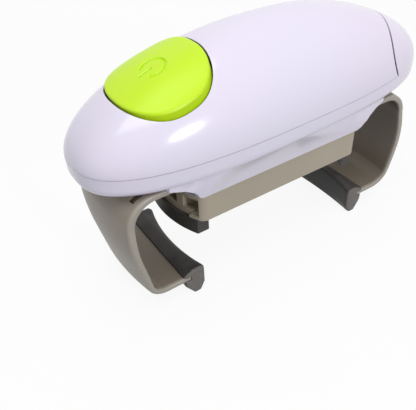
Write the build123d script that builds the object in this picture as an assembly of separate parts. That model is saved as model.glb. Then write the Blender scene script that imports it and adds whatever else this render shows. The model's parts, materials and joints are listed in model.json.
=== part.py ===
"""Cordless jar opener, one press: two arms hold the jar while a turret under the body grips and turns the lid.

Millimetres, +Z up. Every piece is modelled about the turret's axis, with the plane where the two shells
meet at z 0 and the body's long axis along X. write() then moves it to the part's own frame, whose origin is
the middle of the bounding box's underside, where the jar pads stand.
"""

from build123d import *
from math import acos, cos, pi, radians, sin, sqrt, tan
import os

# ---------------------------------------------------------------- body shells
shell_length = 205.0
shell_width = 68.8  # at the middle of the length
shell_egg = 0.09  # share by which the button end is wider, and the battery end narrower
dome_height = 42.9  # above the parting plane
bowl_depth = 10.4  # below the parting plane
shell_wall = 2.2
plan_power = 2.67
dome_power = 1.79
bowl_round = 5.0  # radius of the bowl's bottom edge
shell_middle = 5.5  # from the turret's axis to the middle of the shells
stand_height = 81.0  # from the ground to the parting plane

# ---------------------------------------------------------------- pod under the bowl
pod_depth = 22.2  # below the parting plane
pod_low_width = 57.2  # across its flat sides at the bottom
pod_high_width = 65.0  # across its sides where they meet the bowl
pod_floor = 2.3
pod_end_radius = 56.4
pod_share = 0.97  # of the body's plan outline that the pod keeps inside
pod_cove_steps = ((1.5, 2.3), (4.2, 3.8), (7.1, 6.4), (9.7, 10.0), (11.2, 15.5))  # height over bottom, outward

# ---------------------------------------------------------------- turret that turns the lid
turret_gap = 0.5
turret_height = 14.6
turret_width = 55.6
turret_end_radius = 56.2
turret_corner = 4.5
turret_wall = 2.2
turret_roof = 2.0
turret_base_thickness = 1.6
base_bead = 0.8

# ---------------------------------------------------------------- jar arms
arm_wall = 2.9
arm_plate_width = 54.8
arm_flare_width = 58.6
arm_foot_width = 55.6
arm_shoulder_x = 84.5
arm_waist = (87.4, -37.0)
arm_heel = (80.0, -71.4)
arm_bulge = 3.4  # how much further out the arm stands at its middle than at its edges
arm_shoulder_radius = 15.0
arm_waist_radius = 60.0
arm_heel_radius = 11.0
arm_tongue_width = 44.0
arm_tongue_reach = 34.0  # from the axis to the plate's inner end, as drawn
arm_tongue_length = 18.0
arm_notch_depth = 4.0  # how far the foot goes into its pad
arm_clearance = 0.3  # under the bowl, and over the racks
arm_close_travel = 23.0
arm_open_travel = 8.0
stop_slot = (7.0, 4.2)  # along X, along Y
stop_slot_at = (78.0, 21.5)

# ---------------------------------------------------------------- jar pads
pad_back = 62.6
pad_front = 49.7  # at the pad's ends
pad_length = 57.0
pad_hollow = 4.6  # how much the gripping face is hollowed at its middle
pad_top = -64.5
pad_end_round = 2.0

# ---------------------------------------------------------------- gears
pressure_angle = radians(25)
addendum = 0.9
dedendum = 1.15
backlash = 0.10
axle_radius = 1.0
running = 0.05  # radial clearance of a shaft in its hole
seat = 0.02  # radial clearance of a fixed axle in its hole
gear_gap = 0.4

arm_module = 1.0
arm_pinion_teeth = 20
lid_module = 1.0
lid_pinion_teeth = 34

output_module = 0.8
output_teeth = 48
third_pinion_teeth = 12
third_wheel_teeth = 42
second_module = 0.6
second_pinion_teeth = 10
second_wheel_teeth = 46
first_module = 0.5
first_pinion_teeth = 10
first_wheel_teeth = 44
motor_pinion_teeth = 10

third_direction = radians(-40)  # from the turret's axis
second_direction = radians(75)  # from the third gear
first_direction = radians(80)  # from the second gear
motor_direction = radians(-70)  # from the first gear

rack_height = 4.2
rack_width = 6.9
output_gear_height = 3.8
wheel_height = 2.2

# ---------------------------------------------------------------- gear frame
gear_plate_thickness = 2.0
gear_plate_under = 7.0  # below the parting plane
gear_plate_width = 55.0
gear_plate_left = 26.0
gear_plate_right = 42.0
bridge_thickness = 1.8
bridge_left = 0.5
bridge_posts = ((38.5, 22.0), (38.0, -18.0), (4.0, -25.0), (6.0, 24.0))
bridge_post_radius = 2.6
plate_boss_at = (21.0, 24.9)
plate_boss_radius = 2.6

# ---------------------------------------------------------------- turret hub and lid drive
hub_radius = 6.0
hub_flange_radius = 14.0
hub_flange_thickness = 2.0
hub_neck_radius = 5.0
hub_flat = 4.3  # half the distance across the flats that carry the output gear
hub_screw_circle = 10.5
bush_wall = 2.0
bush_flange = 1.4
lid_shaft_radius = 3.0
clip_thickness = 0.6
clutch_plate_radius = 8.5
clutch_plate_thickness = 1.2
clutch_spring_thickness = 0.7

# ---------------------------------------------------------------- lid jaws
jaw_end_radius = 54.4
jaw_inner_face = 41.0
jaw_close_travel = 22.0
jaw_slip = 0.3  # clearance of a jaw in the turret
jaw_rack_reach = 12.0
lid_pad_outer = 56.2
lid_pad_grip = 50.5
lid_pad_length = 49.2
lid_pad_drop = 9.2  # below the turret
lid_pad_gap = 0.3
jaw_web = (52.4, 54.4)  # inner and outer radius of the web that holds a lid pad
jaw_web_length = 40.0
jaw_web_drop = 6.4
base_strip = 45.0

# ---------------------------------------------------------------- button and switch
button_at = (-54.0, 32.8)  # x and z of the button's middle on the dome
button_tilt = 18.0
button_length = 43.0
button_width = 49.9
button_power = 3.2
button_proud = 0.3
button_edge = 3.0  # radius of the rounding round its top
button_wall = 2.0
button_gap = 0.45
button_skirt = 15.5
button_travel = 2.0
well_floor_depth = 18.0
well_wall = 1.8
stem_radius = 2.2
spring_radius = 4.6
spring_wire = 0.6
spring_turns = 5
switch_size = (12.8, 5.8, 6.0)
switch_plunger_radius = 1.2

# ---------------------------------------------------------------- battery end
door_seam = (75.7, 70.9, 75.2)  # x at the parting plane, at the seam's waist and at the dome
door_seam_waist = 16.0
door_seam_top = 28.0
door_gap = 0.15
door_lip = 4.0
door_lip_wall = 1.4
door_lip_reach = 4.0  # how far the lip goes on under the door to join its wall
cell_radius = 7.15
cell_length = 50.5
cell_nub = 1.0
cell_nub_radius = 2.7
cell_pitch = 15.2
cell_axis = 1.5  # above the parting plane
tray_start = 42.9
tray_wall = 1.2
tray_slip = 0.3
tray_skin = 0.65  # under a cell
tray_share = 0.955  # of the plan outline that the tray keeps inside
tray_foot = (14.0, 10.0)  # along X, half its width
strip_thickness = 0.4
strip_half = 4.0
strip_tab_top = 11.0
contact_spring_length = 3.0

# ---------------------------------------------------------------- motor and board
motor_radius = 10.0
motor_length = 22.4
motor_cap_length = 2.4
motor_socket = 6.5
motor_socket_wall = 1.6
board_size = (21.0, 34.0, 1.2)
board_left = -27.0
board_height = 9.0  # above the gear plate
board_post_radius = 2.0
board_post_at = (23.6, 13.5)
lead_radius = 0.6
battery_lead_out = 14.6  # from the middle plane, where the leads pass the motor

# ---------------------------------------------------------------- screws
screw_radius = 1.0
screw_head_radius = 1.9
screw_head = 1.5
shell_screw_radius = 1.4
shell_screw_head_radius = 2.6
shell_boss_radius = 3.4
shell_screws_at = ((-78.5, 10.0), (60.0, 23.2))  # each is doubled across the body's middle plane

# ---------------------------------------------------------------- levels worked out from the sizes above
bowl_floor = -bowl_depth + shell_wall
plate_top = -bowl_depth - arm_clearance
plate_bottom = plate_top - arm_wall
rack_top = plate_bottom - arm_clearance
rack_bottom = rack_top - rack_height
pod_floor_top = -pod_depth + pod_floor
turret_top = -pod_depth - turret_gap
turret_bottom = turret_top - turret_height
turret_ceiling = turret_top - turret_roof
base_top = turret_bottom + turret_base_thickness
gear_plate_bottom = -gear_plate_under
gear_plate_top = gear_plate_bottom + gear_plate_thickness
layer_1 = (gear_plate_top + gear_gap, gear_plate_top + gear_gap + output_gear_height)
layer_2 = (layer_1[1] + gear_gap, layer_1[1] + gear_gap + wheel_height)
layer_3 = (layer_2[1] + gear_gap, layer_2[1] + gear_gap + wheel_height)
layer_4 = (layer_3[1] + gear_gap, layer_3[1] + gear_gap + wheel_height)
bridge_bottom = layer_4[1] + 1.5 * gear_gap
bridge_top = bridge_bottom + bridge_thickness
pad_bottom = -stand_height
pad_grip_radius = ((pad_length / 2) ** 2 + pad_hollow**2) / (2 * pad_hollow)


def pitch_radius(teeth, module):
    return teeth * module / 2


def step(start, direction, distance):
    """The point at a distance and direction from start."""
    return (start[0] + distance * cos(direction), start[1] + distance * sin(direction))


turret_axis = (0.0, 0.0)
third_axis = step(turret_axis, third_direction, pitch_radius(output_teeth + third_pinion_teeth, output_module))
second_axis = step(third_axis, second_direction, pitch_radius(third_wheel_teeth + second_pinion_teeth, second_module))
first_axis = step(second_axis, first_direction, pitch_radius(second_wheel_teeth + first_pinion_teeth, first_module))
motor_axis = step(first_axis, motor_direction, pitch_radius(first_wheel_teeth + motor_pinion_teeth, first_module))


# ---------------------------------------------------------------- small helpers
def write(name, shape):
    """Moves a piece to the part's frame and writes it."""
    export_step(Pos(-shell_middle, 0, stand_height) * shape, f"parts/{name}.step")


def block(x, y, z):
    """A box between the two values of each pair."""
    size = (x[1] - x[0], y[1] - y[0], z[1] - z[0])
    return Pos((x[0] + x[1]) / 2, (y[0] + y[1]) / 2, (z[0] + z[1]) / 2) * Box(*size)


def rod(radius, z, at=(0.0, 0.0)):
    """An upright cylinder between two levels."""
    return Pos(at[0], at[1], (z[0] + z[1]) / 2) * Cylinder(radius, z[1] - z[0])


def tube(inner, outer, z, at=(0.0, 0.0)):
    return rod(outer, z, at) - rod(inner, z, at)


def turned(shape):
    """The same piece half a turn round the turret's axis."""
    return Rot(0, 0, 180) * shape


def screw(radius, head_radius, head, length, at, top):
    """A pan-head screw that points down from the level of its head's top."""
    return rod(head_radius, (top - head, top), at) + rod(radius, (top - head - length, top - head), at)


def screw_up(radius, head_radius, head, length, at, bottom):
    """A pan-head screw that points up from the level of its head's underside."""
    return rod(head_radius, (bottom, bottom + head), at) + rod(radius, (bottom + head, bottom + head + length), at)


# ---------------------------------------------------------------- gears and racks
def tooth_half_angle(teeth, module, radius):
    """Half the angle of an involute tooth at a radius."""
    pitch = pitch_radius(teeth, module)
    base = pitch * cos(pressure_angle)
    at_pitch = pi / (2 * teeth) - backlash / (4 * pitch)
    if radius <= base:
        return at_pitch + tan(pressure_angle) - pressure_angle
    angle = acos(base / radius)
    return at_pitch + (tan(pressure_angle) - pressure_angle) - (tan(angle) - angle)


def gear(teeth, module, z, at, facing):
    """A spur gear with one tooth centred on the direction facing."""
    pitch = pitch_radius(teeth, module)
    root = pitch - dedendum * module
    tip = pitch + addendum * module
    flank = [root, max(root, pitch * cos(pressure_angle)) + 0.02, pitch, tip]
    points = []
    for tooth in range(teeth):
        middle = facing + 2 * pi * tooth / teeth
        for radius in flank:
            points.append(step(at, middle - tooth_half_angle(teeth, module, radius), radius))
        for radius in reversed(flank):
            points.append(step(at, middle + tooth_half_angle(teeth, module, radius), radius))
    outline = make_face(Polyline(*points, close=True))
    return Pos(0, 0, z[0]) * extrude(outline, z[1] - z[0])


def gap_facing(teeth, direction):
    """The tooth direction that puts a gap of the gear on the given direction."""
    return direction + pi / teeth


def rack(module, x, pitch_line, width, z):
    """A rack along X between two places, with its teeth towards -Y and a gap at x 0."""
    pitch = pi * module
    half = pitch / 4 - backlash / 4
    lean = tan(pressure_angle)
    tip = pitch_line - addendum * module
    root = pitch_line + dedendum * module
    points = [(x[0], root)]
    first = int((x[0] + pitch) / pitch - 0.5)
    last = int((x[1] - pitch) / pitch - 0.5)
    for tooth in range(first, last + 1):
        middle = (tooth + 0.5) * pitch
        low = half + lean * dedendum * module
        high = half - lean * addendum * module
        points += [(middle - low, root), (middle - high, tip), (middle + high, tip), (middle + low, root)]
    points += [(x[1], root), (x[1], pitch_line + width), (x[0], pitch_line + width)]
    outline = make_face(Polyline(*points, close=True))
    return Pos(0, 0, z[0]) * extrude(outline, z[1] - z[0])


# ---------------------------------------------------------------- body shapes
def plan_face(length, width, share, z):
    """The body's egg-shaped outline at one level, at a share of its full size."""
    count = 32
    points = []
    for i in range(count):
        turn = 2 * pi * i / count
        reach = (abs(cos(turn)) ** plan_power + abs(sin(turn)) ** plan_power) ** (-1 / plan_power)
        x = share * reach * cos(turn)
        y = share * reach * sin(turn)
        points.append((shell_middle + length / 2 * x, width / 2 * y * (1 - shell_egg * x), z))
    return Face(Wire([Spline(*points, periodic=True).edge()]))


def dome(inset):
    """The upper half of the body, solid, at a distance inside its outer face."""
    length = shell_length - 2 * inset
    width = shell_width - 2 * inset
    height = dome_height - inset
    sections = []
    for turn in (0, 10, 22, 34, 46, 58, 70, 80):
        share = cos(radians(turn)) ** (2 / dome_power)
        sections.append(plan_face(length, width, share, height * sin(radians(turn)) ** (2 / dome_power)))
    return loft(sections + [Vertex(shell_middle, 0, height)])


def bowl(inset):
    """The lower half of the body, solid, at a distance inside its outer face, with a rounded bottom edge."""
    base = plan_face(shell_length - 2 * inset, shell_width - 2 * inset, 1, 0)
    body = extrude(base, bowl_depth - inset, dir=(0, 0, -1))
    return fillet(body.edges().group_by(Axis.Z)[0], bowl_round - inset)


def pod(inset, floor):
    """The pod under the bowl: flat slanting sides, and ends that follow the turret and sweep out to the bowl."""
    low = -pod_depth + floor
    profile = [(0, low), (pod_end_radius - inset, low)]
    for up, out in pod_cove_steps:
        if up > floor:
            profile.append((pod_end_radius - inset + out, -pod_depth + up))
    profile += [(pod_end_radius + pod_cove_steps[-1][1], -bowl_depth + 2), (0, -bowl_depth + 2)]
    ends = revolve(Plane.XZ * make_face(Polyline(*profile, close=True)), Axis.Z)
    low_half = pod_low_width / 2 - inset
    high_half = pod_high_width / 2 - inset
    rise = (high_half - low_half) / (pod_depth - bowl_depth)
    top = -bowl_depth + 2
    sides = [(-low_half, -pod_depth), (low_half, -pod_depth)]
    sides += [(high_half + 2 * rise, top), (-high_half - 2 * rise, top)]
    wedge = extrude(Plane.YZ * make_face(Polyline(*sides, close=True)), 90, both=True)
    plan = plan_face(shell_length - 2 * inset, shell_width - 2 * inset, pod_share, top)
    return ends & wedge & extrude(plan, pod_depth - bowl_depth + 2, dir=(0, 0, -1))


# ---------------------------------------------------------------- button frame
button_frame = Plane(origin=(button_at[0], 0, button_at[1]), x_dir=(1, 0, tan(radians(button_tilt))), z_dir=(
    -sin(radians(button_tilt)), 0, cos(radians(button_tilt))))


def button_face(grow):
    """The button's rounded outline, grown by a distance, in the button's frame: two halves that meet on its long axis."""
    count = 16
    halves = []
    for first in (0, pi):
        points = []
        for i in range(count + 1):
            turn = first + pi * i / count
            reach = (abs(cos(turn)) ** button_power + abs(sin(turn)) ** button_power) ** (-1 / button_power)
            u = (button_length / 2 + grow) * reach * cos(turn)
            v = (button_width / 2 + grow) * reach * sin(turn)
            points.append((u, v))
        halves.append(Spline(*points, tangents=[(0, cos(first)), (0, -cos(first))]))
    return make_face(halves)


def along_button(face, low, high):
    """A face of the button's frame, extruded between two depths along the button's travel."""
    return button_frame * Pos(0, 0, low) * extrude(face, high - low)


def button_rod(radius, low, high, at=(0.0, 0.0)):
    return button_frame * rod(radius, (low, high), at)


# ---------------------------------------------------------------- upper shell and battery door
def door_side():
    """Everything on the battery side of the curved seam, above the parting plane."""
    seam = ThreePointArc((door_seam[0], 0), (door_seam[1], door_seam_waist), (door_seam[2], door_seam_top))
    rest = Polyline((door_seam[2], door_seam_top), (door_seam[2], 60), (130, 60), (130, 0), (door_seam[0], 0))
    return extrude(Plane.XZ * make_face([seam, rest]), 60, both=True)


def doubled(places):
    """Each place and its mirror image across the body's middle plane."""
    return [(x, side * y) for x, y in places for side in (1, -1)]


def slice_at(solid, x):
    """The solid's cross-section at one place along X."""
    return (solid & block((x, x + 1), (-60, 60), (-60, 60))).faces().sort_by(Axis.X)[0]


switch_top = -well_floor_depth - well_wall - button_travel - 0.3
switch_bottom = switch_top - switch_size[2]
stem_end = switch_top + button_travel + 0.3


def button_well(outside):
    """The button's sleeve and its floor, inside the dome."""
    sleeve = along_button(button_face(button_gap + well_wall), -well_floor_depth - well_wall, 12)
    sleeve -= along_button(button_face(button_gap), -well_floor_depth, 14)
    sleeve -= button_rod(stem_radius + running, -well_floor_depth - 2 * well_wall, -well_floor_depth + 1)
    return sleeve & outside


def switch_ribs():
    """Two ribs under the well's floor that hold the switch."""
    half_x = switch_size[0] / 2
    half_y = switch_size[1] / 2
    levels = (switch_bottom, -well_floor_depth - well_wall)
    ribs = [block((-half_x, half_x), (half_y, half_y + well_wall), levels)]
    ribs.append(block((-half_x, half_x), (-half_y - well_wall, -half_y), levels))
    return [button_frame * rib for rib in ribs]


def upper_shell():
    outside = dome(0)
    shell = outside - dome(shell_wall)
    shell -= along_button(button_face(button_gap), -well_floor_depth, 14)
    shell += button_well(outside)
    for rib in switch_ribs():
        shell += rib
    for at in doubled(shell_screws_at):
        shell += rod(shell_boss_radius, (0, dome_height), at) & outside
    shell -= door_side()
    for at in doubled(shell_screws_at):
        shell -= rod(shell_screw_radius, (-1, 12), at)
    return shell


def battery_door():
    """The end cap of the dome. Its lip is straight, so it slides out along X."""
    door = (dome(0) - dome(shell_wall)) & (Pos(door_gap, 0, door_gap) * door_side())
    lip_start = door_seam[1] - door_lip
    lip_end = door_seam[0] + door_lip
    inner = dome(shell_wall + 2 * door_gap)
    outer_face = slice_at(inner, lip_end)
    inner_face = slice_at(dome(shell_wall + 2 * door_gap + door_lip_wall), lip_end)
    ring = outer_face - inner_face
    lip = extrude(ring, lip_end - lip_start, dir=(-1, 0, 0)) + extrude(ring, door_lip_reach, dir=(1, 0, 0))
    lip &= dome(shell_wall / 2)
    lip &= block((lip_start, 130), (-60, 60), (door_gap, 60))
    return door + lip


# ---------------------------------------------------------------- lower shell
def lower_shell():
    """The bowl and the pod, with slots at the pod's ends for the arms."""
    half_slot = arm_plate_width / 2 + jaw_slip + 0.2
    shell = bowl(0) + pod(0, 0)
    shell -= bowl(shell_wall)
    shell -= pod(shell_wall + 0.3, pod_floor) & block((-90, 90), (-60, 60), (-60, -bowl_depth))
    for side in (1, -1):
        slot_x = sorted((side * 27.2, side * 90))
        shell -= block(slot_x, (-half_slot, half_slot), (plate_bottom - arm_clearance, -bowl_depth))
        slot_x = sorted((side * 46, side * 90))
        shell -= block(slot_x, (-half_slot, half_slot), (pod_floor_top, -bowl_depth))
    shell -= block((-30, 41), (-half_slot, half_slot), (-bowl_depth - 1, bowl_floor + 1))
    for x in (1, -1):
        for y in (1, -1):
            at = (x * plate_boss_at[0], y * plate_boss_at[1])
            shell += rod(plate_boss_radius, (pod_floor_top - 1, gear_plate_bottom), at)
            shell -= rod(screw_radius, (gear_plate_bottom - 6, gear_plate_bottom), at)
    shell -= rod(hub_radius + bush_wall, (-pod_depth - 1, pod_floor_top + 1))
    for at in doubled(shell_screws_at):
        shell += rod(shell_boss_radius, (bowl_floor - 1, 0), at)
        shell -= rod(shell_screw_radius + running, (-bowl_depth - 1, 1), at)
        shell -= rod(shell_screw_head_radius + running, (-bowl_depth - 1, -bowl_depth + shell_wall + 1), at)
    return shell


def shell_screws():
    """Four screws that join the shells from below, with their heads sunk in the bowl."""
    bottom = -bowl_depth + shell_wall + 1 - screw_head
    return [
        screw_up(shell_screw_radius, shell_screw_head_radius, screw_head, 16, at, bottom)
        for at in doubled(shell_screws_at)
    ]


# ---------------------------------------------------------------- button and switch
def button():
    """A cap that carries on the dome's curve, with a rounded edge, a skirt and a stem."""
    cap = along_button(button_face(0), -button_skirt, 14) & dome(-button_proud)
    cap = fillet(cap.faces().sort_by(Axis.Z)[-1].edges(), button_edge)
    hollow = along_button(button_face(-button_wall), -button_skirt - 1, 14) & dome(-button_proud + button_wall)
    stem = button_rod(stem_radius, stem_end, 0)
    return cap - hollow + stem


def spring(radius, wire, low, high, turns):
    """An upright round-wire spring between two levels, standing on its own axis."""
    height = high - low - wire
    path = Helix(height / turns, height, radius)
    profile = Plane(origin=path @ 0, z_dir=path % 0) * Circle(wire / 2)
    return Pos(0, 0, low + wire / 2) * sweep(profile, path=path, is_frenet=True)


def button_spring():
    low = -well_floor_depth
    high = -button_wall + button_proud - 0.45
    return button_frame * spring(spring_radius, spring_wire, low, high, spring_turns)


def switch_plunger():
    return button_rod(switch_plunger_radius, switch_top - 1.2, stem_end)


def start_switch():
    half_x = switch_size[0] / 2
    half_y = switch_size[1] / 2
    body = button_frame * block((-half_x, half_x), (-half_y, half_y), (switch_bottom, switch_top))
    return body - button_rod(switch_plunger_radius + running, switch_top - 1.5 - button_travel, switch_top + 1)


# ---------------------------------------------------------------- batteries
def cell(start, direction):
    """A battery cell whose flat end is at start and whose nub points along the direction, 1 or -1."""
    body = cell_length - cell_nub
    solid = Pos(body / 2, 0, 0) * (Rot(0, 90, 0) * Cylinder(cell_radius, body))
    solid += Pos(body + cell_nub / 2, 0, 0) * (Rot(0, 90, 0) * Cylinder(cell_nub_radius, cell_nub))
    return Pos(start, 0, cell_axis) * (Rot(0, 0, 90 * (1 - direction)) * solid)


bay_start = tray_start + tray_wall + strip_thickness
cell_bay = (bay_start, bay_start + contact_spring_length + cell_length)
tray_end = cell_bay[1] + strip_thickness + tray_wall


def cells():
    first = Pos(0, cell_pitch / 2, 0) * cell(cell_bay[0] + contact_spring_length, 1)
    second = Pos(0, -cell_pitch / 2, 0) * cell(cell_bay[1] - contact_spring_length, -1)
    return [first, second]


def battery_tray():
    """Two half-round troughs on a foot that stands on the bowl's floor, with an end wall for the contacts."""
    half = cell_pitch / 2 + cell_radius + tray_wall
    underside = cell_axis - cell_radius - tray_slip - tray_skin
    tray = block((tray_start, tray_end), (-half, half), (underside, cell_axis + 1))
    inside = plan_face(shell_length - 2 * shell_wall, shell_width - 2 * shell_wall, tray_share, underside)
    tray &= extrude(inside, cell_axis + 1 - underside)
    tray += block((tray_start, tray_start + tray_wall), (-half, half), (underside, cell_axis + cell_radius))
    tray += block((tray_start, tray_start + tray_foot[0]), (-tray_foot[1], tray_foot[1]), (bowl_floor, underside))
    length = cell_bay[1] - cell_bay[0] + 2 * strip_thickness
    for side in (1, -1):
        trough = Rot(0, 90, 0) * Cylinder(cell_radius + tray_slip, length)
        tray -= Pos((cell_bay[0] + cell_bay[1]) / 2, side * cell_pitch / 2, cell_axis) * trough
    reach = cell_pitch / 2 + strip_half
    return tray - block((cell_bay[1], cell_bay[1] + strip_thickness), (-reach, reach), (cell_axis - strip_half, 20))


def contact_strips():
    """Three brass strips: one for each cell beside the motor, with a tab, and one across both at the door."""
    near_levels = (cell_axis - strip_half, strip_tab_top)
    near_x = (cell_bay[0] - strip_thickness, cell_bay[0])
    far_x = (cell_bay[1], cell_bay[1] + strip_thickness)
    low = cell_pitch / 2 - strip_half
    high = cell_pitch / 2 + strip_half
    strips = [block(near_x, (low, high), near_levels), block(near_x, (-high, -low), near_levels)]
    strips.append(block(far_x, (-high, high), (cell_axis - strip_half, cell_axis + strip_half)))
    return strips


def contact_springs():
    """A spring at the flat end of each cell."""
    coil = Rot(0, 90, 0) * spring(4.0, 0.5, 0, contact_spring_length, 2.5)
    near = Pos(cell_bay[0], cell_pitch / 2, cell_axis) * coil
    far = Pos(cell_bay[1] - contact_spring_length, -cell_pitch / 2, cell_axis) * coil
    return [near, far]


# ---------------------------------------------------------------- gear frame
gear_axes = (third_axis, second_axis, first_axis)


def gear_plate():
    """The lower plate, on the pod's bosses. It carries the axles' feet and the hub's upper bush."""
    half = gear_plate_width / 2
    plate = block((-gear_plate_left, gear_plate_right), (-half, half), (gear_plate_bottom, gear_plate_top))
    plate = chamfer(plate.edges().filter_by(Axis.Z), 4)
    for y in (1, -1):
        at = (-board_post_at[0], y * board_post_at[1])
        plate += rod(board_post_radius, (gear_plate_top, gear_plate_top + board_height), at)
        plate -= rod(screw_radius, (gear_plate_top + board_height - 4, gear_plate_top + board_height + 1), at)
    for at in gear_axes:
        plate -= rod(axle_radius + seat, (gear_plate_bottom - 1, gear_plate_top + 1), at)
    for at in bridge_posts:
        plate -= rod(screw_radius, (gear_plate_bottom - 1, gear_plate_top + 1), at)
    for x in (1, -1):
        for y in (1, -1):
            at = (x * plate_boss_at[0], y * plate_boss_at[1])
            plate -= rod(screw_radius + running, (gear_plate_bottom - 1, gear_plate_top + 1), at)
    return plate - rod(hub_radius + bush_wall, (gear_plate_bottom - 1, gear_plate_top + 1))


def gear_plate_screws():
    places = [(x * plate_boss_at[0], y * plate_boss_at[1]) for x in (1, -1) for y in (1, -1)]
    top = gear_plate_top + screw_head
    return [screw(screw_radius, screw_head_radius, screw_head, 7, at, top) for at in places]


def gear_bridge():
    """The upper plate, with its posts and the motor's socket."""
    half = gear_plate_width / 2
    plate = block((bridge_left, gear_plate_right), (-half - 0.6, half - 0.6), (bridge_bottom, bridge_top))
    plate = chamfer(plate.edges().filter_by(Axis.Z), 4)
    plate += tube(motor_radius, motor_radius + motor_socket_wall, (bridge_top, bridge_top + motor_socket), motor_axis)
    for at in bridge_posts:
        plate += rod(bridge_post_radius, (gear_plate_top, bridge_top), at)
    for at in bridge_posts:
        plate -= rod(screw_radius + running, (gear_plate_top - 1, bridge_top + 1), at)
    for at in gear_axes:
        plate -= rod(axle_radius + seat, (bridge_bottom - 1, bridge_top), at)
    return plate - rod(3.4, (bridge_bottom - 1, bridge_top + 1), motor_axis)


def gear_bridge_screws():
    length = bridge_top - gear_plate_bottom - 0.2
    top = bridge_top + screw_head
    return [screw(screw_radius, screw_head_radius, screw_head, length, at, top) for at in bridge_posts]


def gear_axles():
    return [rod(axle_radius, (gear_plate_bottom, bridge_top - 0.2), at) for at in gear_axes]


def compound_gear(pinion, wheel, at, spacer_radius):
    """A pinion and a wheel on one axle, with spacers that keep them in their layers."""
    body = gear(*pinion[:2], pinion[2], at, pinion[3]) + gear(*wheel[:2], wheel[2], at, wheel[3])
    low = gear_plate_top + gear_gap / 2
    high = bridge_bottom - gear_gap / 2
    body += rod(spacer_radius, (low, high), at)
    return body - rod(axle_radius + running, (low - 1, high + 1), at)


def third_gear():
    pinion_levels = (layer_1[0], layer_2[0])
    pinion = (third_pinion_teeth, output_module, pinion_levels, gap_facing(third_pinion_teeth, third_direction + pi))
    wheel = (third_wheel_teeth, second_module, layer_2, second_direction)
    return compound_gear(pinion, wheel, third_axis, 1.9)


def second_gear():
    pinion_levels = (layer_2[0], layer_3[0])
    facing = second_direction + pi
    pinion = (second_pinion_teeth, second_module, pinion_levels, gap_facing(second_pinion_teeth, facing))
    wheel = (second_wheel_teeth, first_module, layer_3, first_direction)
    return compound_gear(pinion, wheel, second_axis, 1.7)


def first_gear():
    pinion_levels = (layer_3[0], layer_4[0])
    facing = first_direction + pi
    pinion = (first_pinion_teeth, first_module, pinion_levels, gap_facing(first_pinion_teeth, facing))
    wheel = (first_wheel_teeth, first_module, layer_4, motor_direction)
    return compound_gear(pinion, wheel, first_axis, 1.6)


def motor_pinion():
    facing = gap_facing(motor_pinion_teeth, motor_direction + pi)
    wheel = gear(motor_pinion_teeth, first_module, layer_4, motor_axis, facing)
    return wheel - rod(axle_radius, (layer_4[0] - 1, layer_4[1] + 1), motor_axis)


def motor_shaft():
    return rod(axle_radius, (layer_4[0], bridge_top + motor_length - 2), motor_axis)


def motor():
    """The can, flat on two sides, with a round bearing nose under it."""
    can = rod(motor_radius, (bridge_top, bridge_top + motor_length), motor_axis)
    nose = rod(3.0, (bridge_bottom, bridge_top), motor_axis)
    return can + nose - rod(axle_radius + running, (bridge_bottom - 1, bridge_top + motor_length - 1.5), motor_axis)


def motor_cap():
    low = bridge_top + motor_length
    cap = rod(motor_radius - 0.4, (low, low + motor_cap_length), motor_axis)
    return cap


def control_board():
    half = board_size[1] / 2
    low = gear_plate_top + board_height
    board = block((board_left, board_left + board_size[0]), (-half, half), (low, low + board_size[2]))
    board += block((board_left + 3, board_left + 10), (-4, 4), (low + board_size[2], low + board_size[2] + 1.6))
    for y in (1, -1):
        board -= rod(screw_radius + running, (low - 1, low + 3), (-board_post_at[0], y * board_post_at[1]))
    return board


def board_screws():
    top = gear_plate_top + board_height + board_size[2] + screw_head
    places = [(-board_post_at[0], y * board_post_at[1]) for y in (1, -1)]
    return [screw(screw_radius, screw_head_radius, screw_head, 4, at, top) for at in places]


# ---------------------------------------------------------------- turret's hub, its bushes and the output gear
def hub_bush():
    """The flanged bush in the pod's floor."""
    bush = tube(hub_radius + running, hub_radius + bush_wall, (-pod_depth, pod_floor_top + bush_flange))
    flange = (pod_floor_top, pod_floor_top + bush_flange)
    return bush + tube(hub_radius + running, hub_radius + 2 * bush_wall, flange)


def upper_bush():
    """The flanged bush in the gear plate."""
    bush = tube(hub_radius + running, hub_radius + bush_wall, (gear_plate_bottom - 0.8, gear_plate_top))
    return bush + tube(hub_radius + running, hub_radius + 1.5 * bush_wall, (gear_plate_bottom - 0.8, gear_plate_bottom))


def hub_section(radius, z):
    """A round bar with two flats."""
    return rod(radius, z) & block((-radius, radius), (-hub_flat, hub_flat), z)


def turret_hub():
    """A flange under the turret's roof and a hollow stalk up to the output gear."""
    hub = rod(hub_flange_radius, (turret_ceiling - hub_flange_thickness, turret_ceiling))
    hub += rod(hub_radius, (turret_ceiling, layer_1[0]))
    hub += hub_section(hub_neck_radius, (layer_1[0], layer_1[1] + clip_thickness))
    hub -= rod(lid_shaft_radius + running, (turret_bottom, layer_2[1]))
    for at in hub_screw_places():
        hub -= rod(screw_radius + running, (turret_bottom, turret_ceiling), at)
    return hub


def hub_screw_places():
    return [step(turret_axis, radians(45 + 90 * i), hub_screw_circle) for i in range(4)]


def hub_screws():
    bottom = turret_ceiling - hub_flange_thickness - screw_head
    length = hub_flange_thickness + turret_roof - 0.2
    return [screw_up(screw_radius, screw_head_radius, screw_head, length, at, bottom) for at in hub_screw_places()]


def output_gear():
    wheel = gear(output_teeth, output_module, layer_1, turret_axis, third_direction)
    return wheel - hub_section(hub_neck_radius + seat, (layer_1[0] - 1, layer_1[1] + 1))


def hub_clip():
    """A ring on the hub's end that holds the output gear down."""
    levels = (layer_1[1], layer_1[1] + clip_thickness)
    return rod(hub_neck_radius + 1.2, levels) - hub_section(hub_neck_radius + seat, (levels[0] - 1, levels[1] + 1))


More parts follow.
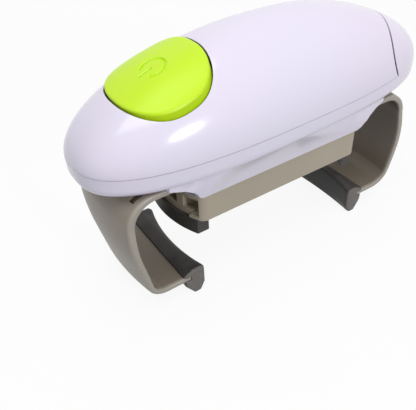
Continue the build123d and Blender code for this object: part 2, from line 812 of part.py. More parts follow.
# ---------------------------------------------------------------- turret
def turret_plan(z):
    """The turret's outline: flat sides, arc ends and rounded corners."""
    outline = Rectangle(2 * turret_end_radius, turret_width) & Circle(turret_end_radius)
    outline = fillet(outline.vertices(), turret_corner)
    return Pos(0, 0, z[0]) * extrude(outline, z[1] - z[0])


def turret_housing():
    """Roof and side walls, open at both ends for the jaws."""
    inner = turret_width / 2 - turret_wall
    body = turret_plan((turret_bottom, turret_top))
    body -= block((-70, 70), (-inner, inner), (turret_bottom - 1, turret_ceiling))
    for side in (1, -1):
        groove_y = sorted((side * (inner - 1), side * (inner + base_bead)))
        groove_z = (turret_bottom + 0.5, turret_bottom + 0.5 + base_bead)
        body -= block((-base_strip, base_strip), groove_y, groove_z)
    body -= rod(hub_radius + running, (turret_ceiling - 1, turret_top + 1))
    for at in hub_screw_places():
        body -= rod(screw_radius, (turret_ceiling - 1, turret_top - 0.1), at)
    return body


def turret_base():
    """The plate under the turret, snapped between its walls, with a slot at each end for a jaw."""
    inner = turret_width / 2 - turret_wall
    plate = turret_plan((turret_bottom, base_top)) & block((-70, 70), (-inner, inner), (turret_bottom, base_top))
    for side in (1, -1):
        bead_y = sorted((side * (inner - 1), side * (inner + base_bead)))
        bead_z = (turret_bottom + 0.5, turret_bottom + 0.5 + base_bead)
        plate += block((-base_strip, base_strip), bead_y, bead_z)
        slot = jaw_web_length / 2 + jaw_slip
        plate -= block(sorted((side * base_strip / 2, side * 70)), (-slot, slot), (turret_bottom - 1, base_top + 1))
    return plate


# ---------------------------------------------------------------- lid jaws (drawn on the -X side)
lid_rack_top = turret_ceiling - rack_height
lid_rack_levels = (lid_rack_top - rack_height, lid_rack_top)
lid_pitch = pitch_radius(lid_pinion_teeth, lid_module)
lid_rack_back = lid_pitch + rack_width - lid_module


def lid_jaw():
    """A block that slides in the turret, with a rack on one side and a tunnel for the other jaw's rack."""
    half = turret_width / 2 - turret_wall - jaw_slip
    top = turret_ceiling - jaw_slip
    body = block((-60, -jaw_inner_face), (-half, half), (base_top + jaw_slip / 2, top))
    body &= rod(jaw_end_radius, (turret_bottom, turret_top))
    tunnel_y = (-lid_rack_back - 1, -lid_pitch + addendum * lid_module + 1)
    body -= block((-70, -30), tunnel_y, (lid_rack_levels[0] - 1.5, lid_rack_levels[1] + 1.5))
    for y in ((-10.9, -3.2), (3.2, 10.9)):
        body -= block((-70, -jaw_inner_face - 3), y, (base_top + 1.6, top - 2.4))
    web = tube(jaw_web[0], jaw_web[1], (turret_bottom - jaw_web_drop, base_top + 2))
    half_web = jaw_web_length / 2
    body += web & block((-60, -30), (-half_web, half_web), (-60, 0))
    start = -(jaw_close_travel + 8)
    bar = rack(lid_module, (start, jaw_rack_reach), lid_pitch, rack_width - lid_module, lid_rack_levels)
    root = lid_pitch + dedendum * lid_module
    bar += block((-jaw_inner_face - 1, start), (root, lid_rack_back), lid_rack_levels)
    return body + bar


def lid_pad():
    """A rubber pad below the turret, hollowed to a lid's rim, with a groove on the jaw's web."""
    top = turret_bottom - lid_pad_gap
    pad = tube(lid_pad_grip, lid_pad_outer, (turret_bottom - lid_pad_drop, top))
    pad &= block((-70, -20), (-lid_pad_length / 2, lid_pad_length / 2), (-60, 0))
    half_web = jaw_web_length / 2
    web = tube(jaw_web[0], jaw_web[1], (turret_bottom - jaw_web_drop, base_top))
    return pad - (web & block((-60, -30), (-half_web, half_web), (-60, 0)))


def lid_pinion():
    wheel = gear(lid_pinion_teeth, lid_module, lid_rack_levels, turret_axis, pi / 2)
    return wheel - rod(lid_shaft_radius, (lid_rack_levels[0] - 1, lid_rack_levels[1] + 1))


def lid_shaft():
    """The shaft through the hollow hub, with a head under the lid pinion."""
    shaft = rod(lid_shaft_radius, (lid_rack_levels[0], clutch_levels[1] + clip_thickness + 0.6))
    return shaft + rod(lid_shaft_radius + 2, (lid_rack_levels[0] - 1.6, lid_rack_levels[0]))


clutch_low = layer_1[1] + clutch_spring_thickness + 0.1
clutch_levels = (clutch_low, clutch_low + clutch_plate_thickness)


def lid_clutch_spring():
    """A flat wave washer, drawn flat, between the output gear and the clutch plate."""
    return tube(hub_neck_radius + 1.5, clutch_plate_radius, (layer_1[1] + 0.05, clutch_low))


def lid_clutch_plate():
    return tube(lid_shaft_radius, clutch_plate_radius, clutch_levels)


def lid_shaft_clip():
    return tube(lid_shaft_radius, lid_shaft_radius + 1.6, (clutch_levels[1], clutch_levels[1] + clip_thickness))


# ---------------------------------------------------------------- jar arms (drawn on the -X side)
def arm_outline(bulge):
    """The arm seen from the front: a plate, a shoulder, a long side, a heel and a foot, as one bent strip."""
    plate_end = (-arm_tongue_reach, plate_top)
    shoulder = (-arm_shoulder_x - bulge, plate_top)
    waist = (-arm_waist[0] - bulge, arm_waist[1])
    heel = (-arm_heel[0] - bulge, arm_heel[1])
    foot_end = (-pad_back + arm_notch_depth, arm_heel[1])
    radii = (arm_shoulder_radius, arm_waist_radius, arm_heel_radius)
    inner_radii = (radii[0] - arm_wall, radii[1] - arm_wall, radii[2] - arm_wall)
    lean = (arm_waist[0] - arm_heel[0]) / (arm_waist[1] - arm_heel[1])
    inner_heel = arm_heel[1] + arm_wall
    heel_x = heel[0] + arm_wall * (sqrt(1 + lean**2) - lean)
    waist_x = waist[0] + arm_wall * (1 + lean / 2)
    shoulder_x = shoulder[0] + arm_wall
    outer = FilletPolyline(plate_end, shoulder, waist, heel, foot_end, radius=radii)
    inner_points = [(plate_end[0], plate_bottom), (shoulder_x, plate_bottom), (waist_x, waist[1])]
    inner_points += [(heel_x, inner_heel), (foot_end[0], inner_heel)]
    inner = FilletPolyline(*inner_points, radius=inner_radii)
    ends = [Line(outer @ 0, inner @ 0), Line(outer @ 1, inner @ 1)]
    return make_face([outer, inner, *ends])


def arm_side():
    """The arm's width, seen along X: narrow at the plate, widest at the waist."""
    plate = arm_plate_width / 2
    flare = arm_flare_width / 2
    foot = arm_foot_width / 2
    right = Spline((plate, -pod_depth - 2), (flare, arm_waist[1] - 4), (foot, arm_heel[1] - 1))
    left = Spline((-foot, arm_heel[1] - 1), (-flare, arm_waist[1] - 4), (-plate, -pod_depth - 2))
    rest = [Line(right @ 1, left @ 0), Line((-plate, -pod_depth - 2), (-plate, 0))]
    rest += [Line((-plate, 0), (plate, 0)), Line((plate, 0), (plate, -pod_depth - 2))]
    return extrude(Plane.YZ * make_face([right, left, *rest]), 120, both=True)


def arm():
    half = arm_flare_width / 2
    sections = []
    for place, bulge in ((-half, 0.0), (0.0, arm_bulge), (half, 0.0)):
        sections.append(Plane(origin=(0, place, 0), x_dir=(1, 0, 0), z_dir=(0, -1, 0)) * arm_outline(bulge))
    body = loft(sections) & arm_side()
    tongue = (-arm_tongue_reach - arm_tongue_length, -arm_tongue_reach + 1)
    for side in (1, -1):
        beside = sorted((side * arm_tongue_width / 2, side * 40))
        body -= block(tongue, beside, (plate_bottom - 1, plate_top + 1))
    slot_x = (-stop_slot_at[0] - stop_slot[0] / 2, -stop_slot_at[0] + stop_slot[0] / 2)
    slot_y = (-stop_slot_at[1] - stop_slot[1] / 2, -stop_slot_at[1] + stop_slot[1] / 2)
    body -= block(slot_x, slot_y, (plate_bottom - 10, plate_top + 1))
    for at in rack_screw_places():
        body -= rod(screw_radius, (plate_bottom - 1, plate_top - 0.2), at)
    return body


arm_pitch = pitch_radius(arm_pinion_teeth, arm_module)
rack_back = arm_pitch + rack_width
rack_foot_back = arm_tongue_width / 2 - 0.2
rack_foot = (-arm_tongue_reach - 9.5, -arm_tongue_reach)


def rack_screw_places():
    x = (rack_foot[0] + rack_foot[1]) / 2
    root = arm_pitch + dedendum * arm_module
    return [(x, -root - share * (rack_foot_back - root)) for share in (0.27, 0.73)]


def arm_rack():
    """The toothed bar under the arm's plate, with a wide foot that the screws hold."""
    levels = (rack_bottom, rack_top)
    root = arm_pitch + dedendum * arm_module
    end = arm_open_travel + 8
    bar = rack(arm_module, (-arm_close_travel - 7, end), arm_pitch, rack_width, levels)
    bar = mirror(bar, about=Plane.XZ)
    bar += block((rack_foot[1] - 1, -arm_close_travel - 7), (-rack_back, -root), levels)
    bar += block(rack_foot, (-rack_foot_back, -root), (rack_bottom, plate_bottom))
    for at in rack_screw_places():
        bar -= rod(screw_radius + running, (rack_bottom - 1, plate_bottom + 1), at)
        bar -= rod(screw_head_radius + running, (rack_bottom - 1, rack_bottom + screw_head), at)
    return bar


def rack_screws():
    length = plate_bottom - rack_bottom - screw_head + arm_wall - 0.6
    return [screw_up(screw_radius, screw_head_radius, screw_head, length, at, rack_bottom) for at in rack_screw_places()]


def jar_pad():
    """A rubber bar along Y with bevelled edges, hollowed on its gripping side, and a slot for the arm's foot."""
    half = pad_length / 2
    bevelled = [(-pad_back, pad_top - 3.0), (-pad_back + 5.6, pad_top), (-pad_front, pad_top)]
    bevelled += [(-pad_front, pad_bottom + 4.8), (-pad_front - 3.0, pad_bottom)]
    bevelled += [(-pad_back + 5.6, pad_bottom), (-pad_back + 1.2, pad_bottom + 5.6)]
    outline = make_face(Polyline(*bevelled, close=True))
    bar = extrude(Plane.XZ * outline, half, both=True)
    grip_middle = -pad_front - pad_hollow + pad_grip_radius
    bar -= rod(pad_grip_radius, (pad_bottom - 1, pad_top + 1), (grip_middle, 0))
    bar &= pad_ends()
    slot_z = (arm_heel[1], arm_heel[1] + arm_wall)
    return bar - block((-pad_back - 1, -pad_back + arm_notch_depth), (-half - 1, half + 1), slot_z)


def pad_ends():
    """The pad's plan outline with its corners rounded."""
    outline = Pos(-(pad_back + pad_front) / 2, 0) * RectangleRounded(pad_back - pad_front, pad_length, pad_end_round)
    return Pos(0, 0, pad_bottom) * extrude(outline, -pad_bottom)


def arm_pinion():
    levels = (rack_bottom, rack_top)
    wheel = gear(arm_pinion_teeth, arm_module, levels, turret_axis, pi / 2)
    return wheel - rod(hub_radius + running, (levels[0] - 1, levels[1] + 1))


def arm_clutch_spring():
    """The spring round the hub that presses on the arms' pinion."""
    low = rack_top
    high = gear_plate_bottom - 0.8
    return spring(hub_radius + 1.4, 0.9, low, high, 3)


# ---------------------------------------------------------------- leads
def lead(points, radii):
    """A round insulated wire along straight runs joined by arcs."""
    path = FilletPolyline(*points, radius=radii)
    profile = Plane(origin=path @ 0, z_dir=path % 0) * Circle(lead_radius)
    return sweep(profile, path=path)


board_top = gear_plate_top + board_height + board_size[2]


def motor_leads():
    """From the side of the motor's cap to the board."""
    top = bridge_top + motor_length + motor_cap_length / 2
    across = 2 * lead_radius + 1
    start_x = motor_axis[0] - sqrt((motor_radius - 0.4) ** 2 - (across - lead_radius) ** 2)
    end_x = board_left + board_size[0] - 4
    wires = []
    for side in (1, -1):
        y = motor_axis[1] + side * across
        points = [(start_x, y, top), (start_x - 12, y, top), (end_x, y, top - 9), (end_x, y, board_top)]
        wires.append(lead(points, (6, 5)))
    return wires


def battery_leads():
    """From the tabs of the two strips beside the motor, over the gear bridge, to the board."""
    high = strip_tab_top - lead_radius - 0.1
    start_x = cell_bay[0] - strip_thickness
    turn_x = tray_start - 2 * lead_radius - 0.6
    end_x = board_left + board_size[0] - 2
    wires = []
    for side in (1, -1):
        near = side * cell_pitch / 2
        wide = side * battery_lead_out
        points = [(start_x, near, high), (turn_x, near, high), (turn_x, wide, high)]
        points += [(end_x, wide, high), (end_x, wide, board_top)]
        wires.append(lead(points, (0.8, 2, 3)))
    return wires


def switch_leads():
    """From the end of the switch to the board's near edge."""
    start = button_frame * Pos(switch_size[0] / 2, 0, (switch_bottom + switch_top) / 2)
    level = start.position.Z
    end_x = board_left + 1.2
    start_x = start.position.X + lead_radius * tan(radians(button_tilt))
    wires = []
    for side in (1, -1):
        y = side * (lead_radius + 0.9)
        points = [(start_x, y, level), (end_x, y, level), (end_x, y, board_top)]
        wires.append(lead(points, 3))
    return wires


# ---------------------------------------------------------------- everything, written one piece to a file
os.makedirs("parts", exist_ok=True)
pieces = {
    "upper_shell": upper_shell,
    "lower_shell": lower_shell,
    "shell_screws": shell_screws,
    "battery_door": battery_door,
    "battery_tray": battery_tray,
    "battery_cells": cells,
    "contact_strips": contact_strips,
    "contact_springs": contact_springs,
    "button": button,
    "button_spring": button_spring,
    "switch_plunger": switch_plunger,
    "start_switch": start_switch,
    "gear_plate": gear_plate,
    "gear_plate_screws": gear_plate_screws,
    "gear_bridge": gear_bridge,
    "gear_bridge_screws": gear_bridge_screws,
    "gear_axles": gear_axles,
    "third_gear": third_gear,
    "second_gear": second_gear,
    "first_gear": first_gear,
    "motor_pinion": motor_pinion,
    "motor_shaft": motor_shaft,
    "motor": motor,
    "motor_cap": motor_cap,
    "motor_leads": motor_leads,
    "battery_leads": battery_leads,
    "switch_leads": switch_leads,
    "control_board": control_board,
    "board_screws": board_screws,
    "hub_bush": hub_bush,
    "upper_bush": upper_bush,
    "turret_hub": turret_hub,
    "hub_screws": hub_screws,
    "output_gear": output_gear,
    "hub_clip": hub_clip,
    "turret_housing": turret_housing,
    "turret_base": turret_base,
    "lid_pinion": lid_pinion,
    "lid_shaft": lid_shaft,
    "lid_clutch_spring": lid_clutch_spring,
    "lid_clutch_plate": lid_clutch_plate,
    "lid_shaft_clip": lid_shaft_clip,
    "arm_pinion": arm_pinion,
    "arm_clutch_spring": arm_clutch_spring,
}
paired = {
    "arm": arm,
    "arm_rack": arm_rack,
    "rack_screws": rack_screws,
    "jar_pad": jar_pad,
    "lid_jaw": lid_jaw,
    "lid_pad": lid_pad,
}


def as_one(made):
    """A group of separate solids as one compound."""
    return Compound(children=[piece if isinstance(piece, Solid) else piece.solid() for piece in made])


for name, make in pieces.items():
    made = make()
    write(name, as_one(made) if isinstance(made, list) else made)
for name, make in paired.items():
    made = make()
    piece = as_one(made) if isinstance(made, list) else made
    write(f"left_{name}", piece)
    write(f"right_{name}", turned(piece))
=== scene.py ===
"""Skins, finishes and stage for the cordless jar opener.

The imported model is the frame: one Operator for each piece or group of like pieces lays its skin where the frame
says, another gives the inner parts their finishes, and the last sets the stage. Everything is in metres.
"""

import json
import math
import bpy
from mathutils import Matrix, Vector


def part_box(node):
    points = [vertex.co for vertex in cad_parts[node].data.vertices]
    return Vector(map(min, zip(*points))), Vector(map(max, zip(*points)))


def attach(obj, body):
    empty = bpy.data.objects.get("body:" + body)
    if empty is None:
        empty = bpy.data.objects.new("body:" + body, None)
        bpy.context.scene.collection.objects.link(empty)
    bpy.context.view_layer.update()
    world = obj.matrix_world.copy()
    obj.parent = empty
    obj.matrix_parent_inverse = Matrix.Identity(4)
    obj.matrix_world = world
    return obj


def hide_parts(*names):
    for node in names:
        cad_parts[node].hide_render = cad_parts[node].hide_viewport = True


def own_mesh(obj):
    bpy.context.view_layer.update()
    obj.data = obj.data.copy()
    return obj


bl_info = {
    "name": "Jar Opener Skins",
    "version": (1, 0, 0),
    "blender": (4, 5, 0),
    "location": "3D View > Sidebar > Opener",
    "description": "Builds the shells, button, arms, pads and turret of a cordless jar opener over its packed frame",
    "category": "Object",
}

import bpy
import numpy as np
from bpy.props import BoolProperty, FloatProperty, FloatVectorProperty, PointerProperty
from mathutils import Vector

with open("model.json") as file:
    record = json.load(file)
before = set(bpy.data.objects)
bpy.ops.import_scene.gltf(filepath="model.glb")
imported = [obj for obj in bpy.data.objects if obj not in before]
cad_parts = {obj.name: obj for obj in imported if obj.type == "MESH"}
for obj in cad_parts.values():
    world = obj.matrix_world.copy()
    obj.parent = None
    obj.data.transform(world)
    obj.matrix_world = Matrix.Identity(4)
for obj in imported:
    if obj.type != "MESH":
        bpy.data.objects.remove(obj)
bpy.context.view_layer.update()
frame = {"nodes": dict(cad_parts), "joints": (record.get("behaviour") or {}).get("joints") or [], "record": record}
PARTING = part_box("upper_shell")[0].z
AXIS_X = next(j["pos_m"][0] for j in frame["joints"] if j["name"] == "turret_spin")
MM = 0.001


# ---------------- settings
def size(name, default, description, low=0.0, high=0.4):
    return FloatProperty(
        name=name, default=default, description=description, min=low, max=high, unit="LENGTH", precision=4, step=0.1
    )


def plain(name, default, description, low=0.0, high=1.0):
    return FloatProperty(name=name, default=default, description=description, min=low, max=high, subtype="FACTOR")


def colour(name, default, description):
    return FloatVectorProperty(
        name=name, default=default, description=description, size=3, min=0.0, max=1.0, subtype="COLOR"
    )


def power(name, default):
    described = f"Power of the {name.lower()}"
    return FloatProperty(name=name, default=default, description=described, min=0, max=50, unit="POWER")


class OpenerShellSettings(bpy.types.PropertyGroup):
    length: size("Length", 0.205, "Length of the body")
    width: size("Width", 0.0688, "Width of the body at the middle of its length")
    dome_height: size("Dome Height", 0.0429, "Height of the dome over the parting plane")
    wall: size("Wall", 0.0022, "Thickness of the shells")
    egg: plain("Egg Shape", 0.09, "Share by which the button end is wider and the battery end narrower")
    plan_power: plain("Plan Power", 2.67, "Power of the outline seen from above", 1.5, 6)
    dome_power: plain("Dome Power", 1.79, "Power of the dome's section", 1.5, 6)
    rim_round: size("Rim Rounding", 0.0005, "Radius of the edge at the parting line")
    seam_round: size("Seam Rounding", 0.0005, "Radius of the edges at the battery door's seam")
    hole_round: size("Hole Rounding", 0.0004, "Radius of the edge round the button")
    door_gap: size("Door Gap", 0.001, "Gap between the battery door and the upper shell")
    colour: colour("Colour", (0.778, 0.748, 0.882), "Colour of the shells")
    blush: colour("Blush", (0.86, 0.715, 0.885), "Second colour that drifts over the shells")


class OpenerButtonSettings(bpy.types.PropertyGroup):
    length: size("Length", 0.0436, "Length of the button along the body")
    width: size("Width", 0.0448, "Width of the button across the body")
    power: plain("Outline Power", 2.4, "Power of the button's outline", 1.5, 6)
    gap: size("Gap", 0.0007, "Gap between the button and the shell")
    proud: size("Proud", 0.0007, "How far the button's top stands over the dome")
    lift: size("Side Lift", 0.0017, "How much flatter than the dome the top is at its sides")
    edge: size("Edge Rounding", 0.0009, "Radius of the rounding round the top")
    wall: size("Wall", 0.002, "Thickness of the cap")
    mark: BoolProperty(name="Power Mark", default=True, description="Sink a plain ring and stroke into the top")
    mark_radius: size("Mark Radius", 0.0056, "Radius of the ring in the top")
    mark_depth: size("Mark Depth", 0.0008, "Depth of the ring in the top")
    colour: colour("Colour", (0.61, 0.89, 0.03), "Colour of the button")


class OpenerArmSettings(bpy.types.PropertyGroup):
    wall: size("Wall", 0.0029, "Thickness of the bent arm")
    bulge: size("Bulge", 0.0034, "How much further out an arm stands at its middle than at its edges")
    rim_round: size("Rim Rounding", 0.0009, "Radius of the arm's rims")
    colour: colour("Colour", (0.262, 0.226, 0.182), "Colour of the arms")
    # The rim colour is a painted highlight along the arms' rims.
    rim_highlight_colour: colour("Rim Colour", (0.4, 0.37, 0.32), "Colour that the rims are rubbed to")
    # Painted shade: the faces that look at the jar, and the slot's pocket, are darkened to the inside colour.
    inside_shade_colour: colour("Inside Colour", (0.205, 0.17, 0.13), "Colour of the faces that look at the jar")


class OpenerPadSettings(bpy.types.PropertyGroup):
    length: size("Length", 0.057, "Length of a jar pad across the body")
    hollow: size("Hollow", 0.0046, "How much the gripping face is hollowed at its middle")
    edge: size("Edge Rounding", 0.0009, "Radius of the pad's bevelled edges")
    colour: colour("Colour", (0.028, 0.025, 0.023), "Colour of the rubber")


class OpenerTurretSettings(bpy.types.PropertyGroup):
    edge: size("Edge Rounding", 0.0005, "Radius of the turret's edges")
    colour: colour("Colour", (0.42, 0.37, 0.285), "Colour of the turret and its jaws")


class OpenerStageSettings(bpy.types.PropertyGroup):
    floor: colour("Floor", (0.9, 0.9, 0.9), "Colour of the floor as it is seen")
    bounce: colour("Bounce", (0.3, 0.3, 0.31), "Colour of the floor for the light that it throws back")
    key_power: power("Key Lamp", 2.4)
    top_power: power("Top Lamp", 3.8)
    back_power: power("Back Lamp", 1.6)
    sky: plain("Sky", 0.45, "Strength of the even light from all round", 0, 2)
    camera_place: FloatVectorProperty(
        name="Camera Place", default=(-0.149845, -0.187282, 0.206385), size=3, subtype="TRANSLATION", unit="LENGTH",
        description="Where the camera stands",
    )
    camera_turn: FloatVectorProperty(
        name="Camera Turn", default=(0.883887, 0.039689, -0.584580), size=3, subtype="EULER", unit="ROTATION",
        description="How the camera is turned",
    )
    lens: FloatProperty(name="Lens", default=45.0675, min=10, max=200, unit="CAMERA", description="Focal length")


# ---------------- meshes
def ramp(values, start, width):
    """Nothing up to the start, 1 from a width beyond it, and straight in between."""
    return np.clip((values - start) / width, 0, 1)


def unit(vectors):
    """The same directions at a length of 1."""
    return vectors / np.linalg.norm(vectors, axis=-1, keepdims=True)


def circle(turn, radius):
    return radius * np.stack([np.cos(turn), np.sin(turn)], axis=-1)


def numbered(rows, columns, first=0):
    """Numbers of a grid's points, row by row."""
    return first + np.arange(rows * columns).reshape(rows, columns)


def grid_faces(number, wrap_rows=False, wrap_columns=True):
    """Four-sided faces between neighbouring rows and columns of a grid of point numbers."""
    if wrap_rows:
        number = np.vstack([number, number[:1]])
    if wrap_columns:
        number = np.hstack([number, number[:, :1]])
    corners = (number[:-1, :-1], number[:-1, 1:], number[1:, 1:], number[1:, :-1])
    return np.stack(corners, axis=-1).reshape(-1, 4)


def faces_to_poles(rows):
    """Faces of a tube of rows that runs to a pole at each end. The two poles are numbered after the rows' points."""
    number = numbered(*rows.shape[:2])
    groups = [grid_faces(number)]
    for ring, pole in ((number[0], number.size), (number[-1], number.size + 1)):
        groups.append(np.stack([ring, np.roll(ring, -1), np.full(len(ring), pole)], axis=-1))
    groups[1] = groups[1][:, ::-1]
    return groups


def round_over(start, corner, end, steps=6):
    """Rows of a rounding between two faces that would meet in a corner:
    corner + (start - corner)(1 - sin t) + (end - corner)(1 - cos t), with t from nothing to a right angle."""
    t = np.linspace(0, math.pi / 2, steps)[:, None, None]
    return corner + (start - corner) * (1 - np.sin(t)) + (end - corner) * (1 - np.cos(t))


def between(first, last, shares):
    """Rows at the given shares of the way from one row of points to another."""
    return first + (last - first) * np.asarray(shares)[:, None, None]


def rounded_path(corners, radii, steps, closed=False):
    """A path of straight runs joined by arcs. An arc of radius r round a corner touches both runs at r tan(turn / 2)
    from it, and its points are centre + r (cos, sin)."""
    count = len(corners)
    path = []
    for i, here in enumerate(corners):
        if not closed and i in (0, count - 1):
            path.append(here[None])
            continue
        back, on = unit(corners[i - 1] - here), unit(corners[(i + 1) % count] - here)
        half = math.acos(float(np.clip(back @ on, -1, 1))) / 2
        reach = radii[i] / math.tan(half)
        middle = here + unit(back + on) * radii[i] / math.sin(half)
        first, last = here + back * reach - middle, here + on * reach - middle
        sweep = math.atan2(first[0] * last[1] - first[1] * last[0], first @ last)
        turn = math.atan2(first[1], first[0]) + sweep * np.linspace(0, 1, steps)
        path.append(middle + circle(turn, radii[i]))
    return np.concatenate(path)


def add_object(name, data):
    thing = bpy.data.objects.new(name, data)
    bpy.context.scene.collection.objects.link(thing)
    return thing


def lay(node, mesh, body, material, crease):
    """Shades a mesh smooth between its creases and hands it to the frame in place of a node."""
    mesh.polygons.foreach_set("use_smooth", np.ones(len(mesh.polygons), bool))
    mesh.set_sharp_from_angle(angle=math.radians(crease))
    mesh.materials.append(material)
    piece = add_object(f"{node}_skin", mesh)
    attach(piece, body)
    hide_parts(node)
    return piece


def lay_faces(node, parts, groups, body, material, edge, inside=None):
    """Makes a mesh whose faces point outwards and lays it. The side is told by the volume that the faces enclose: the
    sum of a . (b x c) over their triangles. Points past the end of the edge or inside values get nothing."""
    points = np.concatenate([part.reshape(-1, 3) for part in parts])
    centred = points - points.mean(axis=0)
    volume = 0.0
    for group in groups:
        for k in range(1, group.shape[1] - 1):
            a, b, c = centred[group[:, 0]], centred[group[:, k]], centred[group[:, k + 1]]
            volume += float(np.sum(a * np.cross(b, c)))
    if volume < 0:
        groups = [group[:, ::-1] for group in groups]
    mesh = bpy.data.meshes.new(f"{node}_skin")
    mesh.from_pydata(points.tolist(), [], [face for group in groups for face in group.tolist()])
    if mesh.validate():
        raise RuntimeError(f"{node}: the mesh had faces that Blender had to mend")
    for label, values in (("edge", edge), ("inside", inside)):
        if values is not None:
            values = np.concatenate([values.ravel(), np.zeros(len(points) - values.size)])
            mesh.attributes.new(label, "FLOAT", "POINT").data.foreach_set("value", values)
    lay(node, mesh, body, material, crease=32)


def lay_both_sides(name, parts, groups, material, edge, inside=None):
    """Lays the left piece, and the right one half a turn from it round the turret's axis."""
    left = np.concatenate([part.reshape(-1, 3) for part in parts])
    right = (2 * AXIS_X, 0, 0) + left * (-1, -1, 1)
    for side, points in (("left", left), ("right", right)):
        lay_faces(f"{side}_{name}", [points], groups, f"{side}_jar_grip", material, edge, inside)


# ---------------- finishes
DUST = (0.55, 0.53, 0.5)


def make_group(name, inputs, outputs):
    """A shader node group whose sockets hold single values, apart from one called Vector."""
    tree = bpy.data.node_groups.new(name, "ShaderNodeTree")
    for way, labels in (("INPUT", inputs), ("OUTPUT", outputs)):
        for label in labels:
            kind = "NodeSocketVector" if label == "Vector" else "NodeSocketFloat"
            tree.interface.new_socket(name=label, in_out=way, socket_type=kind)
    return tree, tree.nodes.new("NodeGroupInput"), tree.nodes.new("NodeGroupOutput")


def add_node(tree, kind, **values):
    """A shader node with its settings, given by name, and its sockets, given as in_ and their name or number."""
    node = tree.nodes.new(f"ShaderNode{kind}")
    for key, value in values.items():
        if key.startswith("in_"):
            socket = key[3:]
            node.inputs[int(socket) if socket.isdigit() else socket].default_value = value
        else:
            setattr(node, key, value)
    return node


def join(tree, *links):
    """Links from a node's output to another's input, each as (node, output, node, input)."""
    for source, output, target, socket in links:
        tree.links.new(source.outputs[output], target.inputs[socket])


def combined(tree, operation, first, second, third, clamp=False):
    """A node that combines three values by one operation, each given as a node and the name of its socket."""
    some = add_node(tree, "Math", operation=operation)
    most = add_node(tree, "Math", operation=operation, use_clamp=clamp)
    join(tree, (*first, some, 0), (*second, some, 1), (some, "Value", most, 0), (*third, most, 1))
    return most


def laid_over(tree, under, source, output, colour):
    """A colour laid over an earlier mix, by the share that a node gives out."""
    mix = add_node(tree, "Mix", data_type="RGBA", in_7=(*colour, 1))
    join(tree, (source, output, mix, 0), (under, 2, mix, 6))
    return mix


def moulded_grain():
    """Soft drifts of tone and a fine moulded grain, from noise at two scales."""
    inputs, outputs = ("Vector", "Drift Scale", "Grain Scale"), ("Drift", "Grain", "Height")
    tree, given, out = make_group("Moulded Grain", inputs, outputs)
    drift = add_node(tree, "TexNoise", in_Detail=3.0, in_Roughness=0.5)
    grain = add_node(tree, "TexNoise", in_Detail=4.0, in_Roughness=0.6)
    wide = add_node(tree, "MapRange", in_1=0.35, in_2=0.65, interpolation_type="SMOOTHSTEP")
    both = add_node(tree, "Math", operation="MULTIPLY_ADD", in_1=0.15)
    join(tree, (given, "Vector", drift, "Vector"), (given, "Drift Scale", drift, "Scale"))
    join(tree, (given, "Vector", grain, "Vector"), (given, "Grain Scale", grain, "Scale"))
    join(tree, (drift, "Fac", wide, "Value"), (drift, "Fac", both, 0), (grain, "Fac", both, 2))
    join(tree, (wide, "Result", out, "Drift"), (grain, "Fac", out, "Grain"), (both, "Value", out, "Height"))
    return tree


def rubbed_edge():
    """How much an edge takes the edge colour, which is the painted shade of the shells and button and the painted
    highlight of the arms' rims: the edge attribute times a broken-up grain.
    """
    tree, given, out = make_group("Rubbed Edge", ("Edge", "Grain", "Amount"), ("Rub",))
    broken = add_node(tree, "MapRange", in_1=0.3, in_2=0.6, in_3=0.55, in_4=1.0)
    join(tree, (given, "Grain", broken, "Value"))
    rub = combined(tree, "MULTIPLY", (given, "Edge"), (broken, "Result"), (given, "Amount"), clamp=True)
    join(tree, (rub, "Value", out, "Rub"))
    return tree


def settled_dust():
    """Dust that lies on faces turned upwards, thinned out by the drift."""
    tree, given, out = make_group("Settled Dust", ("Drift", "Amount"), ("Dust",))
    shape = add_node(tree, "NewGeometry")
    parts = add_node(tree, "SeparateXYZ")
    up = add_node(tree, "MapRange", in_1=0.5, in_2=1.0, in_3=0.0, in_4=1.0)
    join(tree, (shape, "Normal", parts, "Vector"), (parts, "Z", up, "Value"))
    dust = combined(tree, "MULTIPLY", (up, "Result"), (given, "Drift"), (given, "Amount"), clamp=True)
    join(tree, (dust, "Value", out, "Dust"))
    return tree


GROUPS = {}


def shared(tree, make, **values):
    """A node that holds a shader node group, which is made the first time that it is asked for."""
    if make.__name__ not in GROUPS:
        GROUPS[make.__name__] = make()
    return add_node(tree, "Group", node_tree=GROUPS[make.__name__], **values)


